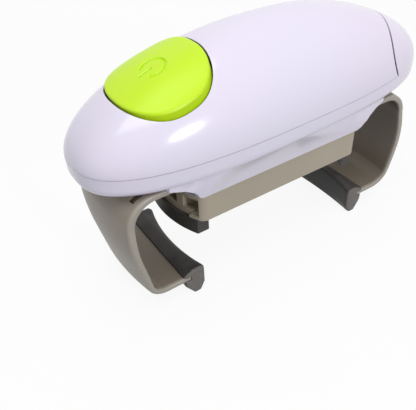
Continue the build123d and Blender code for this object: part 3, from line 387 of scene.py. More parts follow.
def finish_of(
    name, base, second, drift=18.0, grain=900.0, spread=0.5, rough=(0.3, 0.4), bump=0.06, depth=0.0001, metallic=0.0,
    coat=0.0, edge_colour=None, rub=0.0, dust=0.0, stretch=(1.0, 1.0, 1.0), specular=0.5, inside=None,
):
    """A plastic, rubber or metal: the base colour drifts towards the second, faces marked inside take a painted shade,
    edges take the edge colour (painted shade on the shells and the button, a painted highlight on the arms' rims,
    lighter ends on the jar pads), dust settles, and the grain drives both the roughness and the bump."""
    material = bpy.data.materials.new(name)
    material.use_nodes = True
    tree = material.node_tree
    surface = tree.nodes["Principled BSDF"]
    even = {"Metallic": metallic, "Coat Weight": coat, "Coat Roughness": 0.08, "Specular IOR Level": specular}
    for socket, value in even.items():
        surface.inputs[socket].default_value = value
    where = add_node(tree, "TexCoord")
    along = add_node(tree, "Mapping", in_Scale=stretch)
    texture = shared(tree, moulded_grain, in_1=drift, in_2=grain)
    tone = add_node(tree, "MapRange", in_3=0.0, in_4=spread)
    last = add_node(tree, "Mix", data_type="RGBA", in_6=(*base, 1), in_7=(*second, 1))
    gloss = add_node(tree, "MapRange", in_1=0.3, in_2=0.7, in_3=rough[0], in_4=rough[1])
    bumped = add_node(tree, "Bump", in_Strength=bump, in_Distance=depth)
    join(tree, (where, "Object", along, "Vector"), (along, "Vector", texture, "Vector"))
    join(tree, (texture, "Drift", tone, "Value"), (tone, "Result", last, 0))
    join(tree, (texture, "Grain", gloss, "Value"), (gloss, "Result", surface, "Roughness"))
    join(tree, (texture, "Height", bumped, "Height"), (bumped, "Normal", surface, "Normal"))
    # Painted shade: faces marked by the inside attribute are darkened to the inside colour.
    if inside:
        inside_shade_mask = add_node(tree, "Attribute", attribute_name="inside")
        last = laid_over(tree, last, inside_shade_mask, "Fac", inside)
    # The edge colour is laid over the edges by the edge attribute: painted shade on the shells' seams and the button's
    # edge, a painted highlight on the arms' rims, and lighter ends on the jar pads.
    if edge_colour:
        mask = add_node(tree, "Attribute", attribute_name="edge")
        edge_recolour_node = shared(tree, rubbed_edge, in_Amount=rub)
        join(tree, (mask, "Fac", edge_recolour_node, "Edge"), (texture, "Grain", edge_recolour_node, "Grain"))
        last = laid_over(tree, last, edge_recolour_node, "Rub", edge_colour)
    if dust:
        lying = shared(tree, settled_dust, in_Amount=dust)
        join(tree, (texture, "Drift", lying, "Drift"))
        last = laid_over(tree, last, lying, "Dust", DUST)
    join(tree, (last, 2, surface, "Base Color"))
    return material


# What finishes of one material share.
SHELL_PLASTIC = dict(drift=9, grain=1400, bump=0.05, depth=0.00004)
RUBBER = dict(drift=40, grain=1200, spread=0.8, rough=(0.5, 0.62), bump=0.12, depth=0.00006, specular=0.4)
ARM_SECOND = (0.285, 0.245, 0.195)


# ---------------- the dome
class Dome:
    """The dome at a distance inside its outer face. Places in its plan are pairs (a, b), each from -1 to 1; their reach
    is s = (|a|^q + |b|^q)^(1/q), 1 at the rim. With p the section's power, the height is high (1 - s^p)^(1/p)."""

    def __init__(self, shell, inset):
        self.long = shell.length / 2 - inset
        self.wide = shell.width / 2 - inset
        self.high = shell.dome_height - inset
        self.plan, self.power, self.egg = shell.plan_power, shell.dome_power, shell.egg

    def reach(self, place):
        return np.sum(np.abs(place) ** self.plan, axis=-1) ** (1 / self.plan)

    def point(self, place):
        """x = long a, y = wide b (1 - egg a), z = the height over the parting plane."""
        s = np.minimum(self.reach(place), 1.0)
        a, b = place[..., 0], place[..., 1]
        height = self.high * (1 - s**self.power) ** (1 / self.power)
        return np.stack([self.long * a, self.wide * b * (1 - self.egg * a), PARTING + height], axis=-1)

    def place(self, points):
        """The plan place under each point."""
        a = points[..., 0] / self.long
        return np.stack([a, points[..., 1] / (self.wide * (1 - self.egg * a))], axis=-1)

    def level(self, points):
        """s^p + (z / high)^p - 1, which is nothing on the dome, with its slope over p."""
        place = self.place(points)
        a, b = place[..., 0], place[..., 1]
        s = np.maximum(self.reach(place), 1e-6)
        up = np.maximum(points[..., 2] - PARTING, 0) / self.high
        along, across = (s ** (self.power - self.plan) * np.abs(c) ** (self.plan - 1) * np.sign(c) for c in (a, b))
        narrow = 1 - self.egg * a
        x = (along + across * b * self.egg / narrow) / self.long
        y = across / (self.wide * narrow)
        z = up ** (self.power - 1) / self.high
        return s**self.power + up**self.power - 1, np.stack([x, y, z], axis=-1)

    def met(self, points, direction):
        """Each point moved along a direction on to the dome, by twelve of Newton's steps."""
        for _ in range(12):
            value, slope = self.level(points)
            points = points - direction * (value / (self.power * (slope @ direction)))[..., None]
        return points


# Three places (x, z over the parting plane) that the battery door's seam goes through.
SEAM = ((0.0702, 0.0), (0.0654, 0.016), (0.0697, 0.028))
SEAM_COLUMNS = 64


def seam_x(z):
    """Where the battery door's seam is at a height over the parting plane: an arc through three places, then upright.
    The arc is x = middle - sqrt(r^2 - (z - middle)^2)."""
    (x0, z0), (x1, z1), (x2, z2) = SEAM
    sides = np.array([[x1 - x0, z1 - z0], [x2 - x0, z2 - z0]]) * 2
    squares = np.array([x1**2 + z1**2 - x0**2 - z0**2, x2**2 + z2**2 - x0**2 - z0**2])
    middle = np.linalg.solve(sides, squares)
    radius = math.hypot(x0 - middle[0], z0 - middle[1])
    return middle[0] - np.sqrt(radius**2 - (np.minimum(z, z2) - middle[1]) ** 2)


def halved(low, high, steps, holds):
    """The place between low and high up to which a test holds, by halving."""
    for _ in range(steps):
        middle = (low + high) / 2
        yes = holds(middle)
        low, high = np.where(yes, middle, low), np.where(yes, high, middle)
    return low


def seam_places(dome, shift):
    """Plan places up the seam from the rim to the crest, on the +Y side. At height z the dome's reach is
    (1 - (z / high)^p)^(1/p), and b is what a leaves of it."""

    def left_over(z):
        a = (seam_x(z) + shift) / dome.long
        s = (1 - (z / dome.high) ** dome.power) ** (1 / dome.power)
        return s**dome.plan - a**dome.plan, a

    crest = halved(0.0, dome.high, 50, lambda z: left_over(z)[0] > 0)
    z = crest * (1 - (1 - np.linspace(0, 1, SEAM_COLUMNS)) ** dome.plan)
    rest, a = left_over(z)
    return np.stack([a, np.maximum(rest, 0) ** (1 / dome.plan)], axis=-1)


def body_edge(dome, shift, rim_columns, button_side):
    """The plan places round one of the dome's two pieces: along the rim, then over the seam."""
    up = seam_places(dome, shift)
    corner = math.atan2(up[0, 1], up[0, 0])
    ends = (corner, 2 * math.pi - corner) if button_side else (-corner, corner)
    rim = circle(np.linspace(*ends, rim_columns), 1)
    rim = rim / dome.reach(rim)[:, None]
    first = -1.0 if button_side else 1.0
    over = np.concatenate([up[1:] * (1, first), up[1:-1][::-1] * (1, -first)])
    return np.concatenate([rim, over])


def places_between(dome, start, end, share, level):
    """Places at a share of the way between two rings of places. Where level is nothing they run straight in the plan.
    Where it is 1 they run straight along the body in (a, t), where a section's height is its crest (1 - |t|^q)."""
    flat = start + (end - start) * share[..., None]
    turns = []
    for place in (start, end):
        on_crest = np.stack([place[..., 0], np.zeros(len(place))], axis=-1)
        crest = dome.point(on_crest)[..., 2] - PARTING
        height = dome.point(place)[..., 2] - PARTING
        turns.append(np.sign(place[..., 1]) * np.maximum(1 - height / crest, 0) ** (1 / dome.plan))
    turn = turns[0] + (turns[1] - turns[0]) * share
    a = flat[..., 0]
    crest = dome.high * (1 - np.abs(a) ** dome.power) ** (1 / dome.power)
    height = crest * (1 - np.abs(turn) ** dome.plan)
    s = (1 - (height / dome.high) ** dome.power) ** (1 / dome.power)
    b = np.sign(turn) * np.maximum(s**dome.plan - np.abs(a) ** dome.plan, 0) ** (1 / dome.plan)
    return flat + level[..., None] * (np.stack([a, b], axis=-1) - flat)


def near_end(dome, start, end, distance, level):
    """The share of the way from start to end at which the dome's point is a distance from its point at the end."""
    goal = dome.point(end)

    def far(share):
        here = dome.point(places_between(dome, start, end, share, level))
        return np.linalg.norm(here - goal, axis=-1) > distance

    return halved(np.full(len(end), 0.5), np.ones(len(end)), 40, far)


def skin_rows(dome, start, end, first, last, shares, level):
    """Rows of points on the dome from the share first to the share last of the way between two rings of places."""
    share = first + (last - first) * np.asarray(shares)[:, None]
    return dome.point(places_between(dome, start, end, share, level))


# ---------------- the button's frame
TILT = math.radians(18)
BUTTON_MIDDLE = np.array([-0.0595, -0.0025, 0.1138])
BUTTON_ALONG = np.array([math.cos(TILT), 0.0, math.sin(TILT)])
BUTTON_ACROSS = np.array([0.0, 1.0, 0.0])
BUTTON_UP = np.array([-math.sin(TILT), 0.0, math.cos(TILT)])

# Depths in the button's frame, and the stem, which stands on the body's middle line. The spring stands on the floor.
SKIRT_FOOT, WELL_FLOOR, WELL_UNDERSIDE = -0.0155, -0.018, -0.0198
STEM_MIDDLE = np.array([0, -BUTTON_MIDDLE[1]])
STEM_RADIUS, STEM_HOLE = 0.0022, 0.00225


def button_outline(button, turn, grow):
    """The button's outline grown by a distance: u = r cos, v = r sin, r = (|cos / A|^n + |sin / B|^n)^(-1/n)."""
    n = button.power
    way = circle(turn, 1)
    halves = np.array([button.length, button.width]) / 2 + grow
    return way * np.sum(np.abs(way / halves) ** n, axis=-1, keepdims=True) ** (-1 / n)


def in_button(place, depth):
    """Points of the button's frame: along, across and a depth upwards."""
    return BUTTON_MIDDLE + place[..., :1] * BUTTON_ALONG + place[..., 1:] * BUTTON_ACROSS + depth * BUTTON_UP


# ---------------- upper shell and battery door
# Shares of the way to the rim, closer together towards it.
TO_RIM = 1 - (1 - np.linspace(0, 1, 44)) ** 1.7
SLEEVE_WALL = 0.0018
SCREW_POSTS = ((-0.084, 0.01), (-0.084, -0.01), (0.0545, 0.0232), (0.0545, -0.0232))
POST_RADIUS, POST_BORE = 0.0034, 0.0014
RIB_DEPTH, RIB_PITCH = 0.00016, 0.0028
DOOR_POLE, DOOR_RIM_ROUND, DOOR_CLEARANCE = 0.86, 0.00003, 0.00002
LIP_TIP, LIP_X, LIP_ROOT = 0.0614, 0.0742, 0.004
LIP_INSETS, LIP_CLEARANCE = (0.0003, 0.0017), 0.00015


def edges_of(shell, shift, rim_columns, button_side, rim_round):
    """The outer and the inner dome, the places round a piece's edge on each, and the radius of the edge there."""
    domes = Dome(shell, 0), Dome(shell, shell.wall)
    edges = [body_edge(dome, shift, rim_columns, button_side) for dome in domes]
    radius = np.full(len(edges[0]), rim_round)
    radius[rim_columns:] = shell.seam_round
    return *domes, *edges, radius


def rubbed_rows(rows, at, rise, full, column=0):
    """How much painted shade each point takes: from one row on it rises, then some rows take it in full, all from a
    column on.
    """
    rubbed = np.zeros(rows.shape[:2])
    rubbed[at : at + len(rise), column:] = rise[:, None]
    rubbed[at + len(rise) : at + len(rise) + full, column:] = 1
    return rubbed


def rim_rows(surface, corner, inside, radius):
    """The rounding from the surface's last row into the wall's edge."""
    return round_over(surface[-1], corner, corner + unit(inside - corner) * radius[:, None])


def upper_shell_skin(shell, button, material):
    """Surface, rim, inner surface, well and hole as one closed grid, and four screw posts."""
    outer, inner, edge, inner_edge, radius = edges_of(shell, 0, 330, True, shell.rim_round)
    middle = outer.place(outer.met(in_button(np.zeros((1, 2)), 0.0), BUTTON_UP))[0]
    turn = np.arctan2(edge[:, 1] * outer.wide, (edge[:, 0] - middle[0]) * outer.long)
    hole_line = button_outline(button, turn, button.gap)
    hole_point = outer.met(in_button(hole_line, 0.0), BUTTON_UP)
    hole = outer.place(hole_point)
    # Rows run straight in the plan round the button and, from a quarter of the length on, straight along the body.
    level = ramp(edge[:, 0], hole[:, 0], 0.25)
    level = level**2 * (3 - 2 * level)
    last = near_end(outer, hole, edge, radius, level)
    first = 1 - near_end(outer, edge, hole, shell.hole_round, level)
    surface = skin_rows(outer, hole, edge, first, last, TO_RIM, level)
    inside = inner.point(inner_edge)
    rim = rim_rows(surface, outer.point(edge), inside, radius)
    sleeve_line = button_outline(button, turn, button.gap + SLEEVE_WALL)
    sleeve = inner.place(inner.met(in_button(sleeve_line, 0.0), BUTTON_UP))
    lining = skin_rows(inner, inner_edge, sleeve, 0, 1, 1 - TO_RIM[::-1], level)
    stem_line = circle(turn, STEM_HOLE) + STEM_MIDDLE
    under = in_button(between(sleeve_line, stem_line, [0, 0.5, 1]), WELL_UNDERSIDE)
    over = in_button(between(stem_line, hole_line, [0, 0.5, 1]), WELL_FLOOR)
    mouth = round_over(hole_point - BUTTON_UP * shell.hole_round, hole_point, surface[0])
    rows = np.concatenate([surface[:-1], rim, between(rim[-1], inside, [0.5]), lining, under, over, mouth[:-1]])
    # Painted shade: the rounding at the parting line and the door's seam darkens, and so does the mouth round the
    # button.
    rubbed = rubbed_rows(rows, len(surface) - 1, np.linspace(0, 1, 6), 2)
    rubbed[-5:] = np.linspace(1, 0, 6)[:-1, None]
    points, groups = [rows], [grid_faces(numbered(*rubbed.shape), wrap_rows=True)]
    ring = np.linspace(0, 2 * math.pi, 40, endpoint=False)
    inmost = Dome(shell, shell.wall / 2)
    for i, place in enumerate(SCREW_POSTS):
        lines = (circle(ring, POST_RADIUS) + place, circle(ring, POST_BORE) + place)
        feet = [np.column_stack([line, np.full(len(line), PARTING)]) for line in lines]
        tops = [inmost.point(inmost.place(foot)) for foot in feet]
        points.append(np.stack([feet[0], tops[0], tops[1], feet[1]]))
        number = numbered(4, len(ring), rubbed.size + 4 * len(ring) * i)
        groups.append(grid_faces(number, wrap_rows=True)[:, ::-1])
    lay_faces("upper_shell", points, groups, "housing", material, rubbed)


def door_skin(shell, material):
    """The battery door as one closed grid from its outer pole to its inner one, with its lip as a band beside it."""
    rim_columns = 300
    outer, inner, edge, inner_edge, radius = edges_of(shell, shell.door_gap, rim_columns, False, DOOR_RIM_ROUND)
    pole = np.broadcast_to([DOOR_POLE, 0.0], edge.shape)
    level = np.zeros(len(edge))
    last = near_end(outer, pole, edge, radius, level)
    surface = skin_rows(outer, pole, edge, 0, last, TO_RIM[1:], level)
    outward = unit(outer.level(surface)[1])
    # Ribs run along the tip, depth (0.5 - 0.5 cos(2 pi y / pitch))^2, and fade out upwards, downwards and inwards.
    x, y, z = surface[..., 0], surface[..., 1], surface[..., 2] - PARTING
    ribbed = ramp(z, 0.002, 0.003) * ramp(-z, -0.015, 0.006) * ramp(x, 0.09, 0.004)
    ribs = RIB_DEPTH * ribbed * np.clip(0.5 - 0.5 * np.cos(2 * math.pi * y / RIB_PITCH), 0, 1) ** 2
    surface = surface - outward * ribs[..., None]
    rim = rim_rows(surface, outer.point(edge), inner.point(inner_edge), radius)
    lining = skin_rows(inner, inner_edge, pole, 0, 1, (1 - TO_RIM[::-1])[:-1], level)
    rows = np.concatenate([surface[:-1], rim, lining])
    rows[..., 2] = np.maximum(rows[..., 2], PARTING + DOOR_CLEARANCE)
    # Painted shade along the rounding at the door's seam.
    rubbed = rubbed_rows(rows, len(surface) - 1, np.linspace(0, 1, 6), 1, rim_columns)
    turn = np.linspace(-1, 1, 60)
    arcs = []
    for inset in LIP_INSETS:
        band = Dome(shell, shell.wall + inset)
        a = LIP_X / band.long
        b = np.sign(turn) * (1 - np.abs(a) ** band.plan) ** (1 / band.plan) * (1 - (1 - np.abs(turn)) ** 1.5)
        arcs.append(band.point(np.column_stack([np.full(len(b), a), b])))
    back, front = np.array([LIP_TIP - LIP_X, 0, 0]), np.array([LIP_ROOT, 0, 0])
    lip = np.stack([arcs[0] + back, arcs[0] + front, arcs[1] + front, arcs[1] + back], axis=1)
    lip[..., 2] = np.maximum(lip[..., 2], PARTING + LIP_CLEARANCE)
    number = numbered(len(lip), 4, rubbed.size + 2)
    groups = faces_to_poles(rows) + [grid_faces(number)[:, ::-1], number[:1], number[-1:, ::-1]]
    points = [rows, outer.point(pole[:1]), inner.point(pole[:1]), lip]
    lay_faces("battery_door", points, groups, "door", material, rubbed)


class OPENER_OT_shells(bpy.types.Operator):
    """Lay the dome's two skins: the upper shell and the battery door"""

    bl_idname = "opener.shells"
    bl_label = "Build Dome"

    def execute(self, context):
        shell = context.scene.opener_shell
        # The edge colour is painted shade in the parting line, the door's seam and round the button.
        material = finish_of(
            "shell_plastic", shell.colour, shell.blush, spread=0.45, rough=(0.13, 0.2), coat=0.3,
            edge_colour=(0.16, 0.13, 0.19), rub=1.0, dust=0.03, **SHELL_PLASTIC,
        )
        upper_shell_skin(shell, context.scene.opener_button, material)
        door_skin(shell, material)
        return {"FINISHED"}


# ---------------- start button
MARK_HALF, MARK_SOFT, STROKE_START = 0.00055, 0.0003, 0.0012
MARK_GAP, MARK_GAP_SOFT = 0.62, 0.06
MARKED_DISC = 0.0084


def power_mark(place, radius):
    """How deep a plain power mark is at each place, from nothing to 1: a ring with a gap, and a stroke through the gap,
    each (half width - distance from its middle line) / softness + 0.5."""
    back, across = -place[..., 0], place[..., 1]
    away = np.hypot(back, across)
    half, soft = MARK_HALF, MARK_SOFT
    ring = np.clip((half - np.abs(away - radius)) / soft + 0.5, 0, 1)
    ring = ring * ramp(np.abs(np.arctan2(across, back)), MARK_GAP, MARK_GAP_SOFT)
    along = np.clip(back, STROKE_START, radius + STROKE_START)
    stroke = np.clip((half - np.hypot(back - along, across)) / soft + 0.5, 0, 1)
    return np.maximum(ring, stroke)


class OPENER_OT_button(bpy.types.Operator):
    """Lay the start button's skin: its domed top with a rounded edge, skirt, underside and stem"""

    bl_idname = "opener.button"
    bl_label = "Build Button"

    def execute(self, context):
        shell, button = context.scene.opener_shell, context.scene.opener_button
        turn = np.linspace(0, 2 * math.pi, 320, endpoint=False)
        top, under = Dome(shell, -button.proud), Dome(shell, button.wall - button.proud)
        outline, near, inner_line = (button_outline(button, turn, -inset) for inset in (0, button.edge, button.wall))
        disc = circle(turn, MARKED_DISC)
        steps = np.linspace(0, 1, 60)[1:, None, None]
        places = np.concatenate([disc * steps, between(disc, near, np.linspace(0, 1, 14)[1:])])

        # The top is the dome met along the button's axis, raised by lift (2 across / width)^2.
        def raised(place):
            on_dome = top.met(in_button(place, 0.0), BUTTON_UP)
            return on_dome + BUTTON_UP * (button.lift * (2 * place[..., 1:] / button.width) ** 2)

        surface = raised(places)
        if button.mark:
            surface = surface - BUTTON_UP * (power_mark(places, button.mark_radius) * button.mark_depth)[..., None]
        corner = raised(outline)
        brow = round_over(surface[-1], corner, corner - BUTTON_UP * button.edge, 14)
        skirt = np.stack([in_button(outline, SKIRT_FOOT), in_button(inner_line, SKIRT_FOOT)])
        stem = circle(turn, STEM_RADIUS) + STEM_MIDDLE
        ceiling = under.met(in_button(between(inner_line, stem, np.linspace(0, 1, 10)), 0.0), BUTTON_UP)
        rows = np.concatenate([surface[:-1], brow, skirt, ceiling, in_button(stem, WELL_UNDERSIDE)[None]])
        crown = top.met(in_button(np.zeros((1, 2)), 0.0), BUTTON_UP)
        # Painted shade: the lower part of the rounded edge and the skirt darken to the edge colour.
        rubbed = rubbed_rows(rows, len(surface) + 4, np.linspace(0.2, 1, 9), 2)
        material = finish_of(
            "button_plastic", button.colour, (0.57, 0.84, 0.02), drift=30, grain=1600, spread=0.4, rough=(0.3, 0.38),
            bump=0.04, depth=0.00004, edge_colour=(0.5, 0.76, 0.001), rub=1.0, dust=0.0, specular=0.3,
        )
        points = [rows, crown, in_button(STEM_MIDDLE[None], WELL_UNDERSIDE)]
        lay_faces("button", points, faces_to_poles(rows), "start_button", material, rubbed)
        return {"FINISHED"}


# ---------------- jar arms
PLATE_HALF, WAIST_HALF, FOOT_HALF = 0.0274, 0.0293, 0.0278
PLATE_Z, SHOULDER_Z, FOOT_Z = -0.0107, -0.0242, -0.0714
TONGUE_X, TONGUE_HALF = -0.052, 0.022
STATION = 0.0012
# The slot in the plate: its ends along the body from the turret's axis, its sides across, and its share of the wall.
SLOT_ALONG, SLOT_ACROSS, SLOT_DEPTH = (-0.0745, -0.0815), (-0.0236, -0.0194), 0.8


def arm_path(inner, bulge, wall):
    """The arm's outer or inner line at one bulge, as places (x, z) from the plate's end to the foot's, with x from the
    turret's axis and z from the parting plane."""
    shoulder, waist, heel = (0.0845, PLATE_Z), (0.0874, -0.037), (0.08, FOOT_Z)
    radii = np.array([0, 0.015, 0.06, 0.011, 0])
    lean = (waist[0] - heel[0]) / (waist[1] - heel[1])
    corners = np.array([(-0.034, PLATE_Z), shoulder, waist, heel, (-0.0586, FOOT_Z)])
    corners[1:4, 0] = -(corners[1:4, 0] + bulge)
    if inner:
        radii = np.maximum(radii - wall, 0)
        corners[:, 1] += (-wall, -wall, 0, wall, wall)
        corners[1:4, 0] += wall * np.array([1, 1 + lean / 2, math.sqrt(1 + lean**2) - lean])
    return rounded_path(corners, radii, 14)


def finer(path, stations):
    """A path read at fractional stations."""
    return np.stack([np.interp(stations, np.arange(len(path)), path[:, k]) for k in (0, 1)], axis=-1)


def arm_half_width(z):
    """Narrow at the plate, widest at the waist: a parabola through the three widths."""
    low = np.polyfit((SHOULDER_Z, -0.041, -0.0724), (PLATE_HALF, WAIST_HALF, FOOT_HALF), 2)
    return np.where(z > SHOULDER_Z, PLATE_HALF, np.polyval(low, z))


class OPENER_OT_arms(bpy.types.Operator):
    """Lay the skins of the two bent arms that hold the jar"""

    bl_idname = "opener.arms"
    bl_label = "Build Arms"

    def execute(self, context):
        arm = context.scene.opener_arm
        wall, rim = arm.wall, arm.rim_round
        flat = arm_path(False, 0.0, wall)
        spans = np.linalg.norm(np.diff(flat, axis=0), axis=1)
        counts = [max(2, math.ceil(span / STATION)) for span in spans]
        stations = [np.linspace(i, i + 1, count, endpoint=False) for i, count in enumerate(counts)]
        stations = np.concatenate(stations + [[len(spans)]])
        flat = finer(flat, stations)
        half = arm_half_width(flat[:, 1])
        half = np.where(flat[:, 0] > TONGUE_X, np.minimum(half, TONGUE_HALF), half)
        # One loop round the arm's section holds (share of the half-width, y past it, depth into the wall): the outer
        # face, a rounded rim, the inner face and the other rim.
        turn = np.linspace(0, math.pi / 2, 7)
        slot_shares = np.array(SLOT_ACROSS) / (PLATE_HALF - rim)
        shares = np.sort(np.concatenate([np.linspace(0, 1, 40)[1:-1] * 2 - 1, slot_shares]))
        flat_part = np.column_stack([shares, np.zeros((len(shares), 2))])
        corner = np.column_stack([np.ones(7), rim * np.sin(turn), rim * (1 - np.cos(turn))])
        right = np.concatenate([corner, corner[::-1] * (1, 1, -1) + (0, 0, wall)])
        left = right[::-1] * (-1, -1, 1)
        loop = np.concatenate([flat_part, right, flat_part[::-1] + (0, 0, wall), left])
        y = loop[None, :, 0] * (half[:, None] - rim) + loop[None, :, 1]
        bulge = arm.bulge * (1 - (y / WAIST_HALF) ** 2)

        # The arm's path at no bulge and at full bulge, mixed by bulge (1 - (y / half-width)^2) at each place across.
        def bulged(inner):
            none, full = (finer(arm_path(inner, reach, wall), stations) for reach in (0.0, arm.bulge))
            return none[:, None] + (full - none)[:, None] * (bulge / arm.bulge)[..., None]

        outside = bulged(False)
        line = outside + (bulged(True) - outside) * (loop[:, 2] / wall)[None, :, None]
        points = np.stack([line[..., 0] + AXIS_X, y, line[..., 1] + PARTING], axis=-1)
        number = numbered(*points.shape[:2])
        rows, columns = number.shape
        faces = grid_faces(number).reshape(rows - 1, columns, 4)
        first_row, last_row = (int(np.argmin(np.abs(line[: rows // 2, 5, 0] - x))) for x in SLOT_ALONG)
        first, last = (int(np.argmin(np.abs(shares - share))) for share in slot_shares)
        across = len(shares) + len(right)
        # The slot is left out of the outer face, and a pocket sunk into the wall takes its place.
        keep = np.ones(faces.shape[:2], bool)
        keep[first_row:last_row, first:last] = False
        block = (slice(first_row, last_row + 1), slice(first, last + 1))
        behind = across + len(shares) - 1 - np.arange(first, last + 1)
        pocket = points[block] + (points[first_row : last_row + 1, behind] - points[block]) * SLOT_DEPTH
        sunk = numbered(*pocket.shape[:2], first=number.size)
        rings = []
        for grid in (number[block], sunk):
            rings.append(np.concatenate([grid[0, :-1], grid[:-1, -1], grid[-1, :0:-1], grid[:0:-1, 0]]))
        walls, floor = grid_faces(np.stack(rings)), grid_faces(sunk, wrap_columns=False)
        groups = [faces[keep], walls, floor, number[:1, ::-1], number[-1:]]
        # Painted highlight: the two rims of the section take the rim colour.
        rubbed = np.zeros((rows, columns))
        rubbed[:, len(shares) : across] = 1
        rubbed[:, across + len(shares) :] = 1
        # Painted shade on the faces that look at the jar and in the slot's pocket.
        inward = np.zeros((rows, columns))
        inward[:, across : across + len(shares)] = 1
        inward = np.concatenate([inward.ravel(), np.ones(sunk.size)])
        material = finish_of(
            "arm_plastic", arm.colour, ARM_SECOND, drift=22, grain=1500, spread=0.8, rough=(0.34, 0.46),
            bump=0.07, depth=0.00005, edge_colour=arm.rim_highlight_colour, rub=0.85, dust=0.04, inside=arm.inside_shade_colour,
        )
        lay_both_sides("arm", [points, pocket], groups, material, rubbed, inward)
        return {"FINISHED"}


# ---------------- jar pads
# The pad's section in millimetres: x from the turret's axis, z from the parting plane, and the corner's radius. None
# stands for the radius of the bevelled edges.
PAD_SECTION = (
    (-62.6, -67.5, 0.45), (-57.0, -64.5, 2.4), (-49.7, -64.5, 2.4), (-49.7, -76.2, None), (-52.7, -81.0, None),
    (-57.0, -81.0, None), (-61.4, -75.4, None), (-62.0, -71.4, 0.45), (-58.6, -71.4, 0.2), (-58.6, -68.5, 0.2),
    (-62.45, -68.5, 0.4),
)
PAD_FACE_X, PAD_MIDDLE_X, PAD_HALF_DEPTH = -0.0535, -0.05615, 0.0065
PAD_END_ROUND, PAD_TUCK = 0.38 * MM, 2 * MM


class OPENER_OT_jar_pads(bpy.types.Operator):
    """Lay the skins of the rubber pads that grip the jar"""

    bl_idname = "opener.jar_pads"
    bl_label = "Build Jar Pads"

    def execute(self, context):
        pad = context.scene.opener_pad
        corners = np.array([(x, z) for x, z, _ in PAD_SECTION]) * MM
        radii = [pad.edge if radius is None else radius * MM for _, _, radius in PAD_SECTION]
        outline = rounded_path(corners, radii, 5, closed=True)
        along = np.roll(outline, -1, axis=0) - np.roll(outline, 1, axis=0)
        inward = unit(np.stack([along[:, 1], -along[:, 0]], axis=-1))
        half = pad.length / 2
        turn = np.linspace(0, math.pi / 2, 6)
        end = half - PAD_END_ROUND * (1 - np.sin(turn))
        ends = np.concatenate([end[::-1], np.linspace(end[0], -end[0], 60)[1:-1], -end])
        inset = PAD_END_ROUND * (1 - np.cos(turn))
        inset = np.concatenate([inset[::-1], np.zeros(len(ends) - 2 * len(inset)), inset])
        # The gripping face is hollowed by an arc of radius (half^2 + hollow^2) / (2 hollow), less towards its foot.
        radius = (half**2 + pad.hollow**2) / (2 * pad.hollow)
        sunk = np.sqrt(radius**2 - ends**2) - (radius - pad.hollow)
        weight = (0.35 + 0.65 * ramp(outline[:, 1], -0.081, 0.0048)) * (outline[:, 0] > PAD_FACE_X)
        section = outline[None] + inward[None] * inset[:, None, None]
        x = section[..., 0] - weight[None] * sunk[:, None]
        # Towards both ends the section draws in to its middle by r - sqrt(r^2 - d^2), d being the way past half - r.
        over = np.clip(np.abs(ends) - (half - PAD_TUCK), 0, 1.95 * MM)
        tuck = PAD_TUCK - np.sqrt(PAD_TUCK**2 - over**2)
        middle = (PAD_MIDDLE_X - 0.5 * sunk)[:, None]
        x = middle + (x - middle) * (1 - tuck / PAD_HALF_DEPTH)[:, None]
        points = np.stack([x + AXIS_X, np.broadcast_to(ends[:, None], x.shape), section[..., 1] + PARTING], axis=-1)
        number = numbered(*x.shape)
        rubbed = np.zeros(x.shape)
        rubbed[:6] = rubbed[-6:] = 1
        material = finish_of(
            "pad_rubber", pad.colour, (0.034, 0.032, 0.031), edge_colour=(0.19, 0.175, 0.165), rub=0.9, dust=0.12,
            **RUBBER,
        )
        groups = [grid_faces(number), number[:1, ::-1], number[-1:]]
        lay_both_sides("jar_pad", [points], groups, material, rubbed)
        return {"FINISHED"}


# ---------------- pieces that keep their solid's shape
def values_of(items, field, width, kind):
    values = np.empty(len(items) * width, kind)
    items.foreach_get(field, values)
    return values.reshape(-1, width)


def eased_copy(node, body, material, width, crease=38):
    """A merged, smooth-shaded copy of a node's mesh. A width eases its hard edges with a bevel."""
    source = frame["nodes"][node].data
    place = values_of(source.vertices, "co", 3, float)
    _, first, same = np.unique(np.round(place / 2e-6).astype(np.int64), axis=0, return_index=True, return_inverse=True)
    if (values_of(source.polygons, "loop_total", 1, np.int32) != 3).any():
        raise RuntimeError(f"{node}: expected triangles")
    faces = same.ravel()[values_of(source.loops, "vertex_index", 1, np.int32)].reshape(-1, 3)
    whole = (faces[:, 0] != faces[:, 1]) & (faces[:, 1] != faces[:, 2]) & (faces[:, 2] != faces[:, 0])
    mesh = bpy.data.meshes.new(f"{node}_skin")
    mesh.from_pydata(place[first].tolist(), [], faces[whole].tolist())
    mesh.validate()
    piece = lay(node, mesh, body, material, crease)
    if width:
        bevel = piece.modifiers.new("Eased Edges", "BEVEL")
        bevel.width = width
        bevel.segments = 2
        bevel.limit_method = "ANGLE"
        bevel.angle_limit = math.radians(crease)
        bevel.harden_normals = True
        bevel.miter_outer = "MITER_ARC"
    return piece


class OPENER_OT_lower_shell(bpy.types.Operator):
    """Lay the lower shell's skin: a merged, smooth-shaded copy of the solid, with no bevel"""

    bl_idname = "opener.lower_shell"
    bl_label = "Build Lower Shell"

    def execute(self, context):
        shell = context.scene.opener_shell
        material = finish_of(
            "bowl_plastic", shell.colour, shell.blush, spread=0.35, rough=(0.18, 0.27), coat=0.25, **SHELL_PLASTIC
        )
        eased_copy("lower_shell", "housing", material, 0.0, crease=42)
        return {"FINISHED"}


